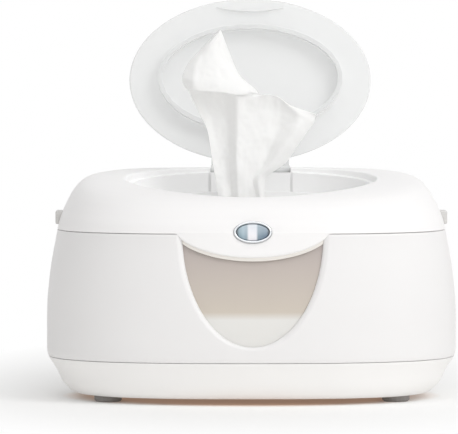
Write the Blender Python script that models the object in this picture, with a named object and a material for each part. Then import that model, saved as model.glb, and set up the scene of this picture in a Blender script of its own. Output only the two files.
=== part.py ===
"""Baby wipe warmer: a tapered oval housing, a hinged cover with a flip lid, and a window in front.

Lengths are metres. X runs left to right, the front faces -Y and +Z is up.
The warmer stands on its four feet at z = 0 and its bounding box is centred on the origin.
"""

import bpy
import bmesh
from math import asin, copysign, cos, pi, radians, sin, sqrt, tan
from mathutils import Matrix, Vector

# Housing outline
BODY_HALF_WIDTH = 0.135
BODY_HALF_DEPTH = 0.092
SHELL_TOP = 0.111
FOOT_REACH = 0.004
BASE_HEIGHT = 0.024
PLAN_POWER = 2.7
WALL = 0.0026
SEAM_GAP = 0.0005
FIT = 0.0003
OVERRUN = 0.010
RING_POINTS = 36
SLOT_POINTS = 24
ROD_POINTS = 12
KNUCKLE_POINTS = 16

# Outline of the housing: height share, width share, depth share
BODY_SHARES = (
    (0.036, 0.867, 0.848),
    (0.063, 0.896, 0.885),
    (0.113, 0.930, 0.925),
    (0.162, 0.948, 0.948),
    (0.207, 0.970, 0.970),
    (0.252, 0.993, 0.993),
    (0.297, 1.000, 1.000),
    (0.450, 1.000, 1.000),
    (0.568, 0.998, 0.997),
    (0.685, 0.990, 0.990),
    (0.802, 0.978, 0.977),
    (0.928, 0.959, 0.957),
    (1.000, 0.948, 0.950),
)

# Cover
COVER_WALL = 0.0025
CREST_HEIGHT = 0.0385
CREST_BEFORE_REAR = 0.042
CREST_Y = BODY_HALF_DEPTH - CREST_BEFORE_REAR
CREST_DROP = 0.0136
CREST_RUN = 0.116
CREST_POWER = 1.465
SHOULDER_INSET = 0.038
# Shoulder of the cover: inset share, height share
SHOULDER_SHARES = (
    (0.000, 0.00),
    (0.058, 0.25),
    (0.118, 0.40),
    (0.184, 0.55),
    (0.276, 0.72),
    (0.410, 0.87),
    (0.553, 0.94),
    (0.790, 0.985),
    (1.000, 1.00),
)
TOP_RING_SHARES = (0.66, 0.33)

# Flip lid and the recess it closes
LID_SIDE_INSET = 0.0535
LID_END_INSET = 0.036
LID_HALF_WIDTH = BODY_HALF_WIDTH - LID_SIDE_INSET
LID_HALF_LENGTH = BODY_HALF_DEPTH - LID_END_INSET
LID_CENTRE_Y = -0.010
LID_THICKNESS = 0.0022
LID_CROWN = 0.0012
LID_EDGE = 0.00055
LID_RING_SHARES = (0.35, 0.75)
LID_EDGE_GAP = 0.0008
LID_LEDGE = 0.0028
LID_LEAN = radians(11)
LID_SLOPE = radians(7.6)
RECESS_FLOOR_DROP = 0.0278
NECK_HALF_WIDTH = 0.0265
NECK_GAP = 0.0004
PIVOT_BEHIND_LID = 0.006
PIVOT_BELOW_LID = 0.0032
BARREL_RADIUS = 0.0034
LID_PIN_RADIUS = 0.0015
PIN_SEAT = 0.0035
HINGE_PANEL_Y = LID_CENTRE_Y + LID_HALF_LENGTH - LID_LEDGE
HINGE_PANEL_DROP = 0.0012
WELL_DEPTH = 0.0044
RIB_INSET = 0.020
RIB_HALF_WIDTH = LID_HALF_WIDTH - RIB_INSET
RIB_HALF_LENGTH = LID_HALF_LENGTH - RIB_INSET
RIB_HEIGHT = 0.008
RIB_WALL = 0.0016
RIB_POINTS = 32
RIB_PHASE_SHARE = 0.5
SEAL_HEIGHT = 0.0016
SEAL_WIDTH = 0.0028
THUMB_HALF_WIDTH = 0.023
THUMB_REACH = 0.003
THUMB_INSET = 0.0065
THUMB_WALL = 0.0016
THUMB_STEPS = 11

# Dispensing slot
SLOT_HALF_WIDTH = 0.026
SLOT_HALF_DEPTH = 0.006
INSERT_SLEEVE = 0.0096
INSERT_FLANGE = 0.0034
INSERT_RISE = 0.0011
PASSAGE_HALF_WIDTH = 0.044
PASSAGE_HALF_DEPTH = 0.021

# Window in the front of the housing
WINDOW_HALF_WIDTH = 0.0493
WINDOW_DROP = 0.075
WINDOW_BEVEL = 0.004
WINDOW_BEVEL_DROP = 0.0025
WINDOW_POINTS = 26
TONGUE_DROP = 0.0155
TONGUE_POWER = 0.65
TONGUE_GAP = 0.0005
LENS_MARGIN = 0.0037
LENS_TOP_DROP = 0.0072
LENS_THICKNESS = 0.0018
LENS_ROWS = 10
LENS_COLUMNS = 10
DUCT_MARGIN = 0.0007
DUCT_WALL = 0.0016
DUCT_TOP_DROP = 0.0090
WINDOW_SEAL_THICKNESS = 0.0012

# Inner tub and the ledge it hangs on
TUB_SIDE_SPACE = 0.0232
TUB_END_SPACE = 0.0182
TUB_TAPER = 0.0105
TUB_WALL = 0.0022
TUB_FLOOR_CLEARANCE = 0.0064
LEDGE_DROP = 0.0039
LEDGE_THICKNESS = 0.0025
LEDGE_WIDTH = 0.009
FLANGE_THICKNESS = 0.0020
FRONT_RELIEF_HALF_WIDTH = 0.0515
FRONT_RELIEF_DEPTH = 0.0112

# Base pan, feet and screws
FLOOR_THICKNESS = 0.0026
FLOOR_STEP_SHARE = 0.33
LIP_HEIGHT = 0.0045
LIP_WALL = 0.0016
FOOT_RADIUS = 0.009
FOOT_SEAT = 0.0012
FOOT_EDGE = 0.0012
FOOT_POINTS = 20
FOOT_SIDE_INSET = 0.041
FOOT_END_INSET = 0.049
FOOT_X = BODY_HALF_WIDTH - FOOT_SIDE_INSET
FOOT_Y = BODY_HALF_DEPTH - FOOT_END_INSET
SCREW_SIDE_INSET = 0.077
SCREW_END_INSET = 0.026
SCREW_X = BODY_HALF_WIDTH - SCREW_SIDE_INSET
SCREW_Y = BODY_HALF_DEPTH - SCREW_END_INSET
SCREW_SHANK = 0.0015
SCREW_HEAD = 0.0032
SCREW_HEAD_HEIGHT = 0.0020
SCREW_LENGTH = 0.012
SCREW_EDGE = 0.0006
SCREW_TIP_SHARE = 0.35
BOSS_RADIUS = 0.0046
BOSS_FLOOR = 0.0025
POST_HEIGHT = 0.014
RIB_THICKNESS = 0.002

# Cover hinge
HINGE_PROUD = 0.0025
HINGE_Y = BODY_HALF_DEPTH + HINGE_PROUD
HINGE_RADIUS = 0.004
HINGE_PIN_RADIUS = 0.0015
HINGE_X = 0.045
KNUCKLE_WIDTH = 0.012
EAR_WIDTH = 0.007
HINGE_ARM = 0.005
HINGE_SIDE_GAP = 0.0004

# Parts carried under the cover
PAN_THICKNESS = 0.0020
GASKET_THICKNESS = 0.0018
GASKET_WIDTH = 0.0026
HEATER_SIDE_INSET = 0.047
HEATER_END_INSET = 0.040
HEATER_HALF_WIDTH = BODY_HALF_WIDTH - HEATER_SIDE_INSET
HEATER_HALF_DEPTH = BODY_HALF_DEPTH - HEATER_END_INSET
HEATER_THICKNESS = 0.0015
FILM_THICKNESS = 0.0005
FENCE_WALL = 0.0016
COVER_SCREW_SIDE_INSET = 0.038
COVER_SCREW_FRONT_INSET = 0.054
COVER_SCREW_REAR_INSET = 0.058
COVER_SCREW_X = BODY_HALF_WIDTH - COVER_SCREW_SIDE_INSET
COVER_SCREW_FRONT_Y = COVER_SCREW_FRONT_INSET - BODY_HALF_DEPTH
COVER_SCREW_REAR_Y = BODY_HALF_DEPTH - COVER_SCREW_REAR_INSET
COVER_SCREW_LENGTH = 0.009
THERMOSTAT_SIDE_INSET = 0.028
THERMOSTAT_END_INSET = 0.032
THERMOSTAT_X = THERMOSTAT_SIDE_INSET - HEATER_HALF_WIDTH
THERMOSTAT_Y = HEATER_HALF_DEPTH - THERMOSTAT_END_INSET
THERMOSTAT_RADIUS = 0.0065
THERMOSTAT_HEIGHT = 0.0042
INLET_ABOVE_SEAM = 0.0105
INLET_RADIUS = 0.0048
INLET_FLANGE = 0.0014
INLET_FLANGE_THICKNESS = 0.0015
INLET_LENGTH = 0.013
INLET_BORE = 0.0028
INLET_BORE_DEPTH = 0.0095
INLET_POINTS = 20
LEAD_RADIUS = 0.0015
LEAD_POINTS = 22

# Light button
BUTTON_ABOVE_SEAM = 0.0010
BUTTON_SINK = 0.0008
BUTTON_TILT = radians(10)
BEZEL_HALF_WIDTH = 0.0123
BEZEL_HALF_HEIGHT = 0.0072
BEZEL_FLANGE = 0.0010
BEZEL_LIP = 0.0008
BEZEL_RISE = 0.0012
SLEEVE_DEPTH = 0.0042
SLEEVE_WALL = 0.0008
BUTTON_GAP = 0.0003
BUTTON_TRAVEL = 0.0012
BUTTON_DOME = 0.0013
BUTTON_DOME_SHARES = (0.85, 0.6, 0.25)
BUTTON_POINTS = 24
BUTTON_FLANGE = 0.0006
BUTTON_FLANGE_THICKNESS = 0.0009
SWITCH_SIZE = 0.006
SWITCH_HEIGHT = 0.0030
LED_RADIUS = 0.0015
LED_SPACING = 0.006
BOARD_HALF_WIDTH = 0.022
BOARD_HEIGHT = 0.016
BOARD_THICKNESS = 0.0016

# Side release tabs
TAB_HALF_LENGTH = 0.009
TAB_BOTTOM = 0.0027
TAB_HEIGHT = 0.0088
TAB_PROUD = 0.0013
TAB_GAP = 0.0004
TAB_FLANGE = 0.0014
TAB_FLANGE_THICKNESS = 0.0014
TAB_EDGE = 0.0010

# Wipes
STACK_SIDE_INSET = 0.047
STACK_END_INSET = 0.042
STACK_HALF_WIDTH = BODY_HALF_WIDTH - STACK_SIDE_INSET
STACK_HALF_DEPTH = BODY_HALF_DEPTH - STACK_END_INSET
STACK_HEIGHT = 0.0428
STACK_POWER = 4
WIPE_THICKNESS = 0.0020
WIPE_HEIGHT = 0.1223
WIPE_SPREAD = 0.045
# Front view of the raised wipe: x share of its spread, height share
WIPE_SHARES = (
    (-0.47, 0.00),
    (0.20, 0.00),
    (0.19, 0.10),
    (0.18, 0.19),
    (0.55, 0.29),
    (0.67, 0.37),
    (0.88, 0.48),
    (0.95, 0.54),
    (0.51, 0.60),
    (0.36, 0.64),
    (0.08, 0.66),
    (-0.17, 0.75),
    (-0.32, 0.88),
    (-0.46, 1.00),
    (-0.76, 0.89),
    (-1.00, 0.76),
    (-0.90, 0.65),
    (-0.64, 0.46),
    (-0.57, 0.28),
    (-0.49, 0.10),
)

# Heights worked out from the sizes above
SEAM = SHELL_TOP + SEAM_GAP
BASE_TOP = FOOT_REACH + BASE_HEIGHT
CREST = SEAM + CREST_HEIGHT
RECESS_FLOOR = CREST - RECESS_FLOOR_DROP
PIVOT_Y = LID_CENTRE_Y + LID_HALF_LENGTH + PIVOT_BEHIND_LID
HINGE_Z = SEAM - HINGE_SIDE_GAP
LEDGE_TOP = SHELL_TOP - LEDGE_DROP
FLANGE_BOTTOM = LEDGE_TOP + FIT
FLANGE_TOP = FLANGE_BOTTOM + FLANGE_THICKNESS
GASKET_BOTTOM = FLANGE_TOP + FIT
PAN_BOTTOM = GASKET_BOTTOM + GASKET_THICKNESS + FIT
PAN_TOP = PAN_BOTTOM + PAN_THICKNESS
FILM_TOP = PAN_BOTTOM - FIT
PLATE_TOP = FILM_TOP - FILM_THICKNESS - FIT
TUB_BOTTOM = FOOT_REACH + FLOOR_THICKNESS + TUB_FLOOR_CLEARANCE
INSERT_TOP = RECESS_FLOOR + FIT + INSERT_RISE
PLAN_SHIFT = (BODY_HALF_DEPTH - (HINGE_Y + HINGE_RADIUS)) / 2


def clear_scene():
    for item in list(bpy.data.objects):
        bpy.data.objects.remove(item)


def material(name, colour, roughness, metallic=0.0, alpha=1.0):
    made = bpy.data.materials.new(name)
    made.use_nodes = True
    shader = made.node_tree.nodes["Principled BSDF"]
    shader.inputs["Base Color"].default_value = (*colour, 1.0)
    shader.inputs["Roughness"].default_value = roughness
    shader.inputs["Metallic"].default_value = metallic
    shader.inputs["Alpha"].default_value = alpha
    return made


# Outlines

def between(low, high, share):
    return low + (high - low) * share


def body_half_sizes(height):
    """Outer half width and half depth of the housing at a height."""
    share = min(max(height / SHELL_TOP, BODY_SHARES[0][0]), BODY_SHARES[-1][0])
    for low, high in zip(BODY_SHARES, BODY_SHARES[1:]):
        if share <= high[0]:
            along = (share - low[0]) / (high[0] - low[0])
            wide = between(low[1], high[1], along)
            deep = between(low[2], high[2], along)
            break
    return BODY_HALF_WIDTH * wide, BODY_HALF_DEPTH * deep


def oval(half_x, half_y, height, centre_y=0.0, power=PLAN_POWER, count=RING_POINTS, phase=0.0):
    """Points of a superellipse; height is one value or a function of y."""
    points = []
    for step in range(count):
        turn = 2 * pi * (step + phase) / count
        x = half_x * copysign(abs(cos(turn)) ** (2 / power), cos(turn))
        y = centre_y + half_y * copysign(abs(sin(turn)) ** (2 / power), sin(turn))
        z = height(y) if callable(height) else height
        points.append(Vector((x, y, z)))
    return points


def body_ring(height, inset):
    half_x, half_y = body_half_sizes(height)
    return oval(half_x - inset, half_y - inset, height)


def body_levels(low, high):
    """Heights of the housing outline between two heights, both included."""
    inner = [row[0] * SHELL_TOP for row in BODY_SHARES if low < row[0] * SHELL_TOP < high]
    return [low, *inner, high]


def front_face(x, z, inset):
    """Y of the housing's faceted front surface, moved inwards by the inset."""
    front = body_ring(z, inset)[RING_POINTS // 2:]
    for here, after in zip(front, front[1:]):
        if x <= after.x:
            return between(here.y, after.y, (x - here.x) / (after.x - here.x))
    return 0.0


def crown(y):
    """Height of the cover's top above the seam, falling towards the front."""
    behind = max(CREST_Y - y, 0)
    return CREST_HEIGHT - CREST_DROP * (behind / CREST_RUN) ** CREST_POWER


def wall_lean(z, y):
    """How far the cover's inner wall has leaned in at a height near the seam."""
    share = (z - SEAM) / (crown(y) - COVER_WALL)
    for low, high in zip(SHOULDER_SHARES, SHOULDER_SHARES[1:]):
        if share <= high[1]:
            along = (share - low[1]) / (high[1] - low[1])
            return SHOULDER_INSET * between(low[0], high[0], along)
    return SHOULDER_INSET


def cover_rings(inset):
    """Rings of the cover from the seam to the middle of its top."""
    half_x, half_y = body_half_sizes(SHELL_TOP)
    rings = []
    for inset_share, height_share in SHOULDER_SHARES:
        move = inset + SHOULDER_INSET * inset_share

        def height(y, rise=height_share):
            return SEAM + (crown(y) - inset) * rise

        rings.append(oval(half_x - move, half_y - move, height))
    for share in TOP_RING_SHARES:
        inner_x = (half_x - inset - SHOULDER_INSET) * share
        inner_y = (half_y - inset - SHOULDER_INSET) * share
        rings.append(oval(inner_x, inner_y, lambda y: SEAM + crown(y) - inset))
    return rings


def lid_plane(y):
    """Height of the closed lid's outer face."""
    return PIVOT_Z + (PIVOT_BELOW_LID + (y - PIVOT_Y) * sin(LID_SLOPE)) / cos(LID_SLOPE)


# The lid's pivot sits so that the closed lid is flush with the rear of the cover
PIVOT_Z = CREST - PIVOT_BELOW_LID + (PIVOT_BEHIND_LID * sin(LID_SLOPE))


# Solids

def solid(name, bm, finish=None, smooth=radians(35)):
    bmesh.ops.recalc_face_normals(bm, faces=bm.faces)
    mesh = bpy.data.meshes.new(name)
    bm.to_mesh(mesh)
    bm.free()
    mesh.shade_smooth()
    mesh.set_sharp_from_angle(angle=smooth)
    made = bpy.data.objects.new(name, mesh)
    bpy.context.collection.objects.link(made)
    if finish is None:
        made.hide_render = True
        made.display_type = 'WIRE'
    else:
        mesh.materials.append(finish)
    return made


def loft(name, rings, finish=None, closed=False, pole=False):
    """Skin over rings of equal length, capped, closed on itself or ending in one point."""
    bm = bmesh.new()
    rows = [[bm.verts.new(point) for point in ring] for ring in rings]
    pairs = list(zip(rows, rows[1:]))
    if closed:
        pairs.append((rows[-1], rows[0]))
    for low, high in pairs:
        for here in range(len(low)):
            after = (here + 1) % len(low)
            bm.faces.new((low[here], low[after], high[after], high[here]))
    if not closed:
        bm.faces.new(rows[0])
        if pole:
            middle = sum((vert.co for vert in rows[-1]), Vector()) / len(rows[-1])
            tip = bm.verts.new(middle)
            for here in range(len(rows[-1])):
                after = (here + 1) % len(rows[-1])
                bm.faces.new((rows[-1][here], rows[-1][after], tip))
        else:
            bm.faces.new(rows[-1])
    return solid(name, bm, finish)


def turned(name, profile, finish=None, count=20, power=2, bore=False):
    """Skin through ovals given as half width, half depth and height."""
    rings = [oval(wide, deep, height, power=power, count=count) for wide, deep, height in profile]
    return loft(name, rings, finish, closed=bore)


def rod(name, radius, start, end, finish=None, count=ROD_POINTS):
    """Round bar between two points."""
    start = Vector(start)
    end = Vector(end)
    length = (end - start).length
    made = turned(name, ((radius, radius, 0), (radius, radius, length)), finish, count)
    made.location = start
    made.rotation_euler = (end - start).to_track_quat('Z', 'Y').to_euler()
    return made


def block(name, low, high, finish=None, edge=0.0):
    """Box between two corners, with its edges rounded."""
    bm = bmesh.new()
    bmesh.ops.create_cube(bm, size=1)
    for vert in bm.verts:
        vert.co = Vector(between(a, b, c + 0.5) for a, b, c in zip(low, high, vert.co))
    made = solid(name, bm, finish)
    if edge:
        bevel = made.modifiers.new("edges", 'BEVEL')
        bevel.width = edge
        bevel.segments = 2
    return made


def combine(target, tool, operation):
    change = target.modifiers.new(tool.name, 'BOOLEAN')
    change.operation = operation
    change.object = tool
    change.solver = 'EXACT'


def cut(target, *tools):
    for tool in tools:
        combine(target, tool, 'DIFFERENCE')


def add(target, *tools):
    for tool in tools:
        combine(target, tool, 'UNION')


def screw(name, place, length, finish):
    """Pan head screw pointing up, its head's lower face at the place."""
    head = SCREW_HEAD - FIT
    face = head - SCREW_EDGE
    tip = SCREW_SHANK * SCREW_TIP_SHARE
    profile = (
        (face, face, 0),
        (head, head, SCREW_EDGE),
        (head, head, SCREW_HEAD_HEIGHT),
        (SCREW_SHANK, SCREW_SHANK, SCREW_HEAD_HEIGHT),
        (SCREW_SHANK, SCREW_SHANK, SCREW_HEAD_HEIGHT + length - SCREW_SHANK),
        (tip, tip, SCREW_HEAD_HEIGHT + length),
    )
    made = turned(name, profile, finish, count=ROD_POINTS)
    made.location = place
    return made


def window_outline(half_width, drop, top):
    """Half ellipse hanging from the top of the housing, cut off level at a height."""
    start = asin((SHELL_TOP - top) / drop)
    outline = []
    for step in range(WINDOW_POINTS):
        turn = between(start, pi - start, step / (WINDOW_POINTS - 1))
        outline.append((half_width * cos(turn), SHELL_TOP - drop * sin(turn)))
    return outline


def tongue_outline(half_width, drop):
    """Curved lower edge of the tongue, from seam to seam."""
    outline = []
    for step in range(WINDOW_POINTS):
        share = cos(pi * step / (WINDOW_POINTS - 1))
        outline.append((half_width * share, SEAM - drop * (1 - share ** 2) ** TONGUE_POWER))
    return outline


def on_face(outline, inset):
    return [Vector((x, front_face(x, min(z, SHELL_TOP), inset), z)) for x, z in outline]


def at_depth(outline, y):
    return [Vector((x, y, z)) for x, z in outline]


def open_top(outline):
    """Outline carried straight up from both of its ends."""
    first = (outline[0][0], outline[0][1] + OVERRUN)
    last = (outline[-1][0], outline[-1][1] + OVERRUN)
    return [first, *outline, last]


def bevelled_cutter(name, inner, outer):
    """Cutter for a bevelled opening that follows the housing's front surface."""
    front = -BODY_HALF_DEPTH - OVERRUN
    back = -BODY_HALF_DEPTH + FRONT_RELIEF_DEPTH + OVERRUN
    slope = [on_face(outer, -FIT), on_face(inner, WALL + FIT)]
    return loft(name, [at_depth(outer, front), *slope, at_depth(inner, back)])


# Materials

def make_finishes():
    white = (0.86, 0.86, 0.85)
    return {
        "shell": material("white_abs", white, 0.35),
        "base": material("white_base_abs", (0.84, 0.84, 0.83), 0.38),
        "tub": material("cream_pp", (0.76, 0.72, 0.66), 0.45),
        "lens": material("window_polycarbonate", (0.80, 0.77, 0.72), 0.12, alpha=0.35),
        "lid": material("frosted_lid_pp", (0.82, 0.83, 0.83), 0.30, alpha=0.7),
        "rubber": material("grey_rubber", (0.28, 0.27, 0.26), 0.8),
        "seal": material("soft_white_tpe", (0.72, 0.72, 0.71), 0.6),
        "steel": material("zinc_steel", (0.62, 0.62, 0.62), 0.3, metallic=1.0),
        "chrome": material("chromed_abs", (0.75, 0.77, 0.79), 0.08, metallic=1.0),
        "button": material("clear_button_acrylic", (0.55, 0.63, 0.68), 0.05, alpha=0.5),
        "aluminium": material("heater_aluminium", (0.70, 0.71, 0.72), 0.3, metallic=1.0),
        "film": material("heater_polyimide", (0.55, 0.25, 0.05), 0.4),
        "board": material("board_laminate", (0.02, 0.18, 0.06), 0.5),
        "black": material("black_nylon", (0.02, 0.02, 0.02), 0.5),
        "led": material("led_epoxy", (0.90, 0.88, 0.80), 0.1, alpha=0.6),
        "lead": material("lead_pvc", (0.05, 0.05, 0.05), 0.5),
        "wipe": material("wipe_nonwoven", (0.90, 0.90, 0.89), 0.9),
    }


# Base pan, feet and its screws

def make_base(finish):
    step_in = WALL + FIT
    rings = [body_ring(z, 0.0) for z in body_levels(FOOT_REACH, BASE_TOP)]
    lip_inner = step_in + LIP_WALL
    lip_top = BASE_TOP + LIP_HEIGHT
    rings.append(body_ring(BASE_TOP, step_in))
    rings.append(body_ring(lip_top, step_in))
    rings.append(body_ring(lip_top, lip_inner))
    rings.append(body_ring(BASE_TOP - LIP_HEIGHT, lip_inner))
    floor = FOOT_REACH + FLOOR_THICKNESS
    rings.append(body_ring(between(floor, BASE_TOP, FLOOR_STEP_SHARE), WALL))
    rings.append(body_ring(floor, WALL))
    pan = loft("base_pan", rings, finish["base"])
    places = [(sx * SCREW_X, sy * SCREW_Y) for sx in (-1, 1) for sy in (-1, 1)]
    names = ("front_left", "rear_left", "front_right", "rear_right")
    for name, (x, y) in zip(names, places):
        bottom = Vector((x, y, FOOT_REACH + FLOOR_THICKNESS / 2))
        boss_top = Vector((x, y, BASE_TOP))
        add(pan, rod("boss_" + name, BOSS_RADIUS, bottom, boss_top))
        well_top = BASE_TOP - BOSS_FLOOR
        low = Vector((x, y, -OVERRUN))
        cut(pan, rod("head_well_" + name, SCREW_HEAD, low, (x, y, well_top)))
        cut(pan, rod("shank_hole_" + name, SCREW_SHANK + FIT, low, (x, y, lip_top)))
        head_z = well_top - FIT - SCREW_HEAD_HEIGHT
        screw("base_screw_" + name, (x, y, head_z), SCREW_LENGTH, finish["steel"])
        foot_x = copysign(FOOT_X, x)
        foot_y = copysign(FOOT_Y, y)
        seat = FOOT_REACH + FOOT_SEAT
        foot_place = (foot_x, foot_y, 0)
        seat_top = (foot_x, foot_y, seat)
        cut(pan, rod("foot_seat_" + name, FOOT_RADIUS + FIT, foot_place, seat_top, count=FOOT_POINTS))
        small = FOOT_RADIUS - FOOT_EDGE
        profile = (
            (small, small, 0),
            (FOOT_RADIUS, FOOT_RADIUS, FOOT_EDGE),
            (FOOT_RADIUS, FOOT_RADIUS, seat - FIT),
        )
        foot = turned("foot_" + name, profile, finish["rubber"], count=FOOT_POINTS)
        foot.location = foot_place
    return pan


# Housing shell with its window, ledge, screw posts and hinge ears

def hinge_ear(name, low_x, high_x, drop, lift):
    """Knuckle round the cover's hinge axis with an arm to the wall in front of it."""
    start = (low_x, HINGE_Y, HINGE_Z)
    end = (high_x, HINGE_Y, HINGE_Z)
    knuckle = rod(name, HINGE_RADIUS, start, end, count=KNUCKLE_POINTS)
    wall_y = -front_face(max(abs(low_x), abs(high_x)), SHELL_TOP, 2 * WALL)
    low = (low_x + FIT, wall_y, HINGE_Z + drop)
    high = (high_x - FIT, HINGE_Y, HINGE_Z + lift)
    arm = block(name + "_arm", low, high)
    return knuckle, arm


def make_shell(finish):
    bottom = BASE_TOP + SEAM_GAP
    outside = [body_ring(z, 0.0) for z in body_levels(bottom, SHELL_TOP)]
    shell = loft("body_shell", outside, finish["shell"])
    for side in (-1, 1):
        for place in (-1, 1):
            inner = side * HINGE_X + place * (KNUCKLE_WIDTH / 2 + HINGE_SIDE_GAP)
            outer = inner + place * EAR_WIDTH
            name = "ear_" + str(side) + "_" + str(place)
            low_x = min(inner, outer)
            high_x = max(inner, outer)
            add(shell, *hinge_ear(name, low_x, high_x, -HINGE_ARM, -SEAM_GAP - HINGE_SIDE_GAP))
    ledge_bottom = LEDGE_TOP - LEDGE_THICKNESS
    rings = [body_ring(z, WALL) for z in body_levels(bottom - OVERRUN, ledge_bottom)]
    rings.append(body_ring(ledge_bottom, WALL + LEDGE_WIDTH))
    rings.append(body_ring(LEDGE_TOP, WALL + LEDGE_WIDTH))
    rings.append(body_ring(LEDGE_TOP, WALL))
    rings.append([point + Vector((0, 0, OVERRUN)) for point in rings[-1]])
    inside = loft("shell_inside", rings)
    for sx in (-1, 1):
        for sy in (-1, 1):
            x = sx * SCREW_X
            y = sy * SCREW_Y
            name = "post_" + str(sx) + "_" + str(sy)
            low = BASE_TOP + FIT
            cut(inside, rod(name, BOSS_RADIUS, (x, y, low), (x, y, low + POST_HEIGHT)))
            far_y = sy * BODY_HALF_DEPTH
            corner = (x - RIB_THICKNESS / 2, min(y, far_y), low + LIP_HEIGHT + FIT)
            other = (x + RIB_THICKNESS / 2, max(y, far_y), low + POST_HEIGHT - FIT)
            cut(inside, block(name + "_rib", corner, other))
    cut(shell, inside)
    for sx in (-1, 1):
        for sy in (-1, 1):
            x = sx * SCREW_X
            y = sy * SCREW_Y
            pilot = "pilot_" + str(sx) + "_" + str(sy)
            hole_top = BASE_TOP + FIT + POST_HEIGHT - BOSS_FLOOR
            cut(shell, rod(pilot, SCREW_SHANK + FIT, (x, y, BASE_TOP - OVERRUN), (x, y, hole_top)))
    wide = window_outline(WINDOW_HALF_WIDTH, WINDOW_DROP, SHELL_TOP)
    inner_half = WINDOW_HALF_WIDTH - WINDOW_BEVEL
    narrow = window_outline(inner_half, WINDOW_DROP - WINDOW_BEVEL_DROP, SHELL_TOP)
    cut(shell, bevelled_cutter("window_cutter", open_top(narrow), open_top(wide)))
    for side in (-1, 1):
        bore_start = (side * HINGE_X - KNUCKLE_WIDTH - EAR_WIDTH, HINGE_Y, HINGE_Z)
        bore_end = (side * HINGE_X + KNUCKLE_WIDTH + EAR_WIDTH, HINGE_Y, HINGE_Z)
        cut(shell, rod("shell_bore_" + str(side), HINGE_PIN_RADIUS + FIT, bore_start, bore_end))
        reach = KNUCKLE_WIDTH / 2 + HINGE_SIDE_GAP + EAR_WIDTH
        start = (side * HINGE_X - reach, HINGE_Y, HINGE_Z)
        end = (side * HINGE_X + reach, HINGE_Y, HINGE_Z)
        pin_name = "cover_hinge_pin_right" if side > 0 else "cover_hinge_pin_left"
        rod(pin_name, HINGE_PIN_RADIUS, start, end, finish["steel"])
    return shell


def make_window(finish):
    """Window lens and the seal behind it."""
    half = WINDOW_HALF_WIDTH + LENS_MARGIN
    drop = WINDOW_DROP + LENS_MARGIN
    first = LENS_TOP_DROP / drop
    bm = bmesh.new()
    layers = []
    for inset in (WALL + FIT, WALL + FIT + LENS_THICKNESS):
        grid = []
        for row in range(LENS_ROWS):
            fall = between(first, 1, sin(pi / 2 * row / LENS_ROWS))
            z = SHELL_TOP - drop * fall
            reach = half * sqrt(1 - fall ** 2)
            line = []
            for column in range(LENS_COLUMNS + 1):
                x = between(-reach, reach, column / LENS_COLUMNS)
                line.append(bm.verts.new((x, front_face(x, z, inset), z)))
            grid.append(line)
        layers.append(grid)
    for grid in layers:
        for low, high in zip(grid, grid[1:]):
            for here in range(LENS_COLUMNS):
                bm.faces.new((low[here], low[here + 1], high[here + 1], high[here]))
    edges = []
    for grid in layers:
        right = [line[-1] for line in grid[1:]]
        left = [line[0] for line in grid[-2:0:-1]]
        edges.append([*grid[0], *right, *reversed(grid[-1][:-1]), *left])
    for here in range(len(edges[0])):
        after = (here + 1) % len(edges[0])
        bm.faces.new((edges[0][here], edges[0][after], edges[1][after], edges[1][here]))
    lens = solid("window_lens", bm, finish["lens"])
    relief_z = SHELL_TOP - LENS_TOP_DROP - LENS_MARGIN
    relief_x = BEZEL_HALF_WIDTH + DUCT_WALL
    low = (-relief_x, -BODY_HALF_DEPTH, relief_z)
    high = (relief_x, 0.0, SHELL_TOP)
    cut(lens, block("button_relief", low, high))

    front = WALL + LENS_THICKNESS + 2 * FIT
    back = front + WINDOW_SEAL_THICKNESS
    inner, outer = duct_outlines()
    rings = [on_face(inner, front), on_face(outer, front), on_face(outer, back), on_face(inner, back)]
    loft("window_seal", rings, finish["rubber"], closed=True)
    return lens


def duct_outlines():
    """Inner and outer outline of the tub's window duct."""
    half = WINDOW_HALF_WIDTH - WINDOW_BEVEL + DUCT_MARGIN
    drop = WINDOW_DROP - WINDOW_BEVEL_DROP + DUCT_MARGIN
    top = SHELL_TOP - DUCT_TOP_DROP
    inner = window_outline(half, drop, top)
    outer = window_outline(half + DUCT_WALL, drop + DUCT_WALL, top + DUCT_WALL)
    return inner, outer


# Inner tub

def tub_half_sizes(height, inset):
    share = (height - TUB_BOTTOM) / (FLANGE_TOP - TUB_BOTTOM)
    taper = TUB_TAPER * (1 - share)
    half_x = BODY_HALF_WIDTH - TUB_SIDE_SPACE - taper - inset
    half_y = BODY_HALF_DEPTH - TUB_END_SPACE - taper - inset
    return half_x, half_y


def tub_ring(height, inset):
    return oval(*tub_half_sizes(height, inset), height)


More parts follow.
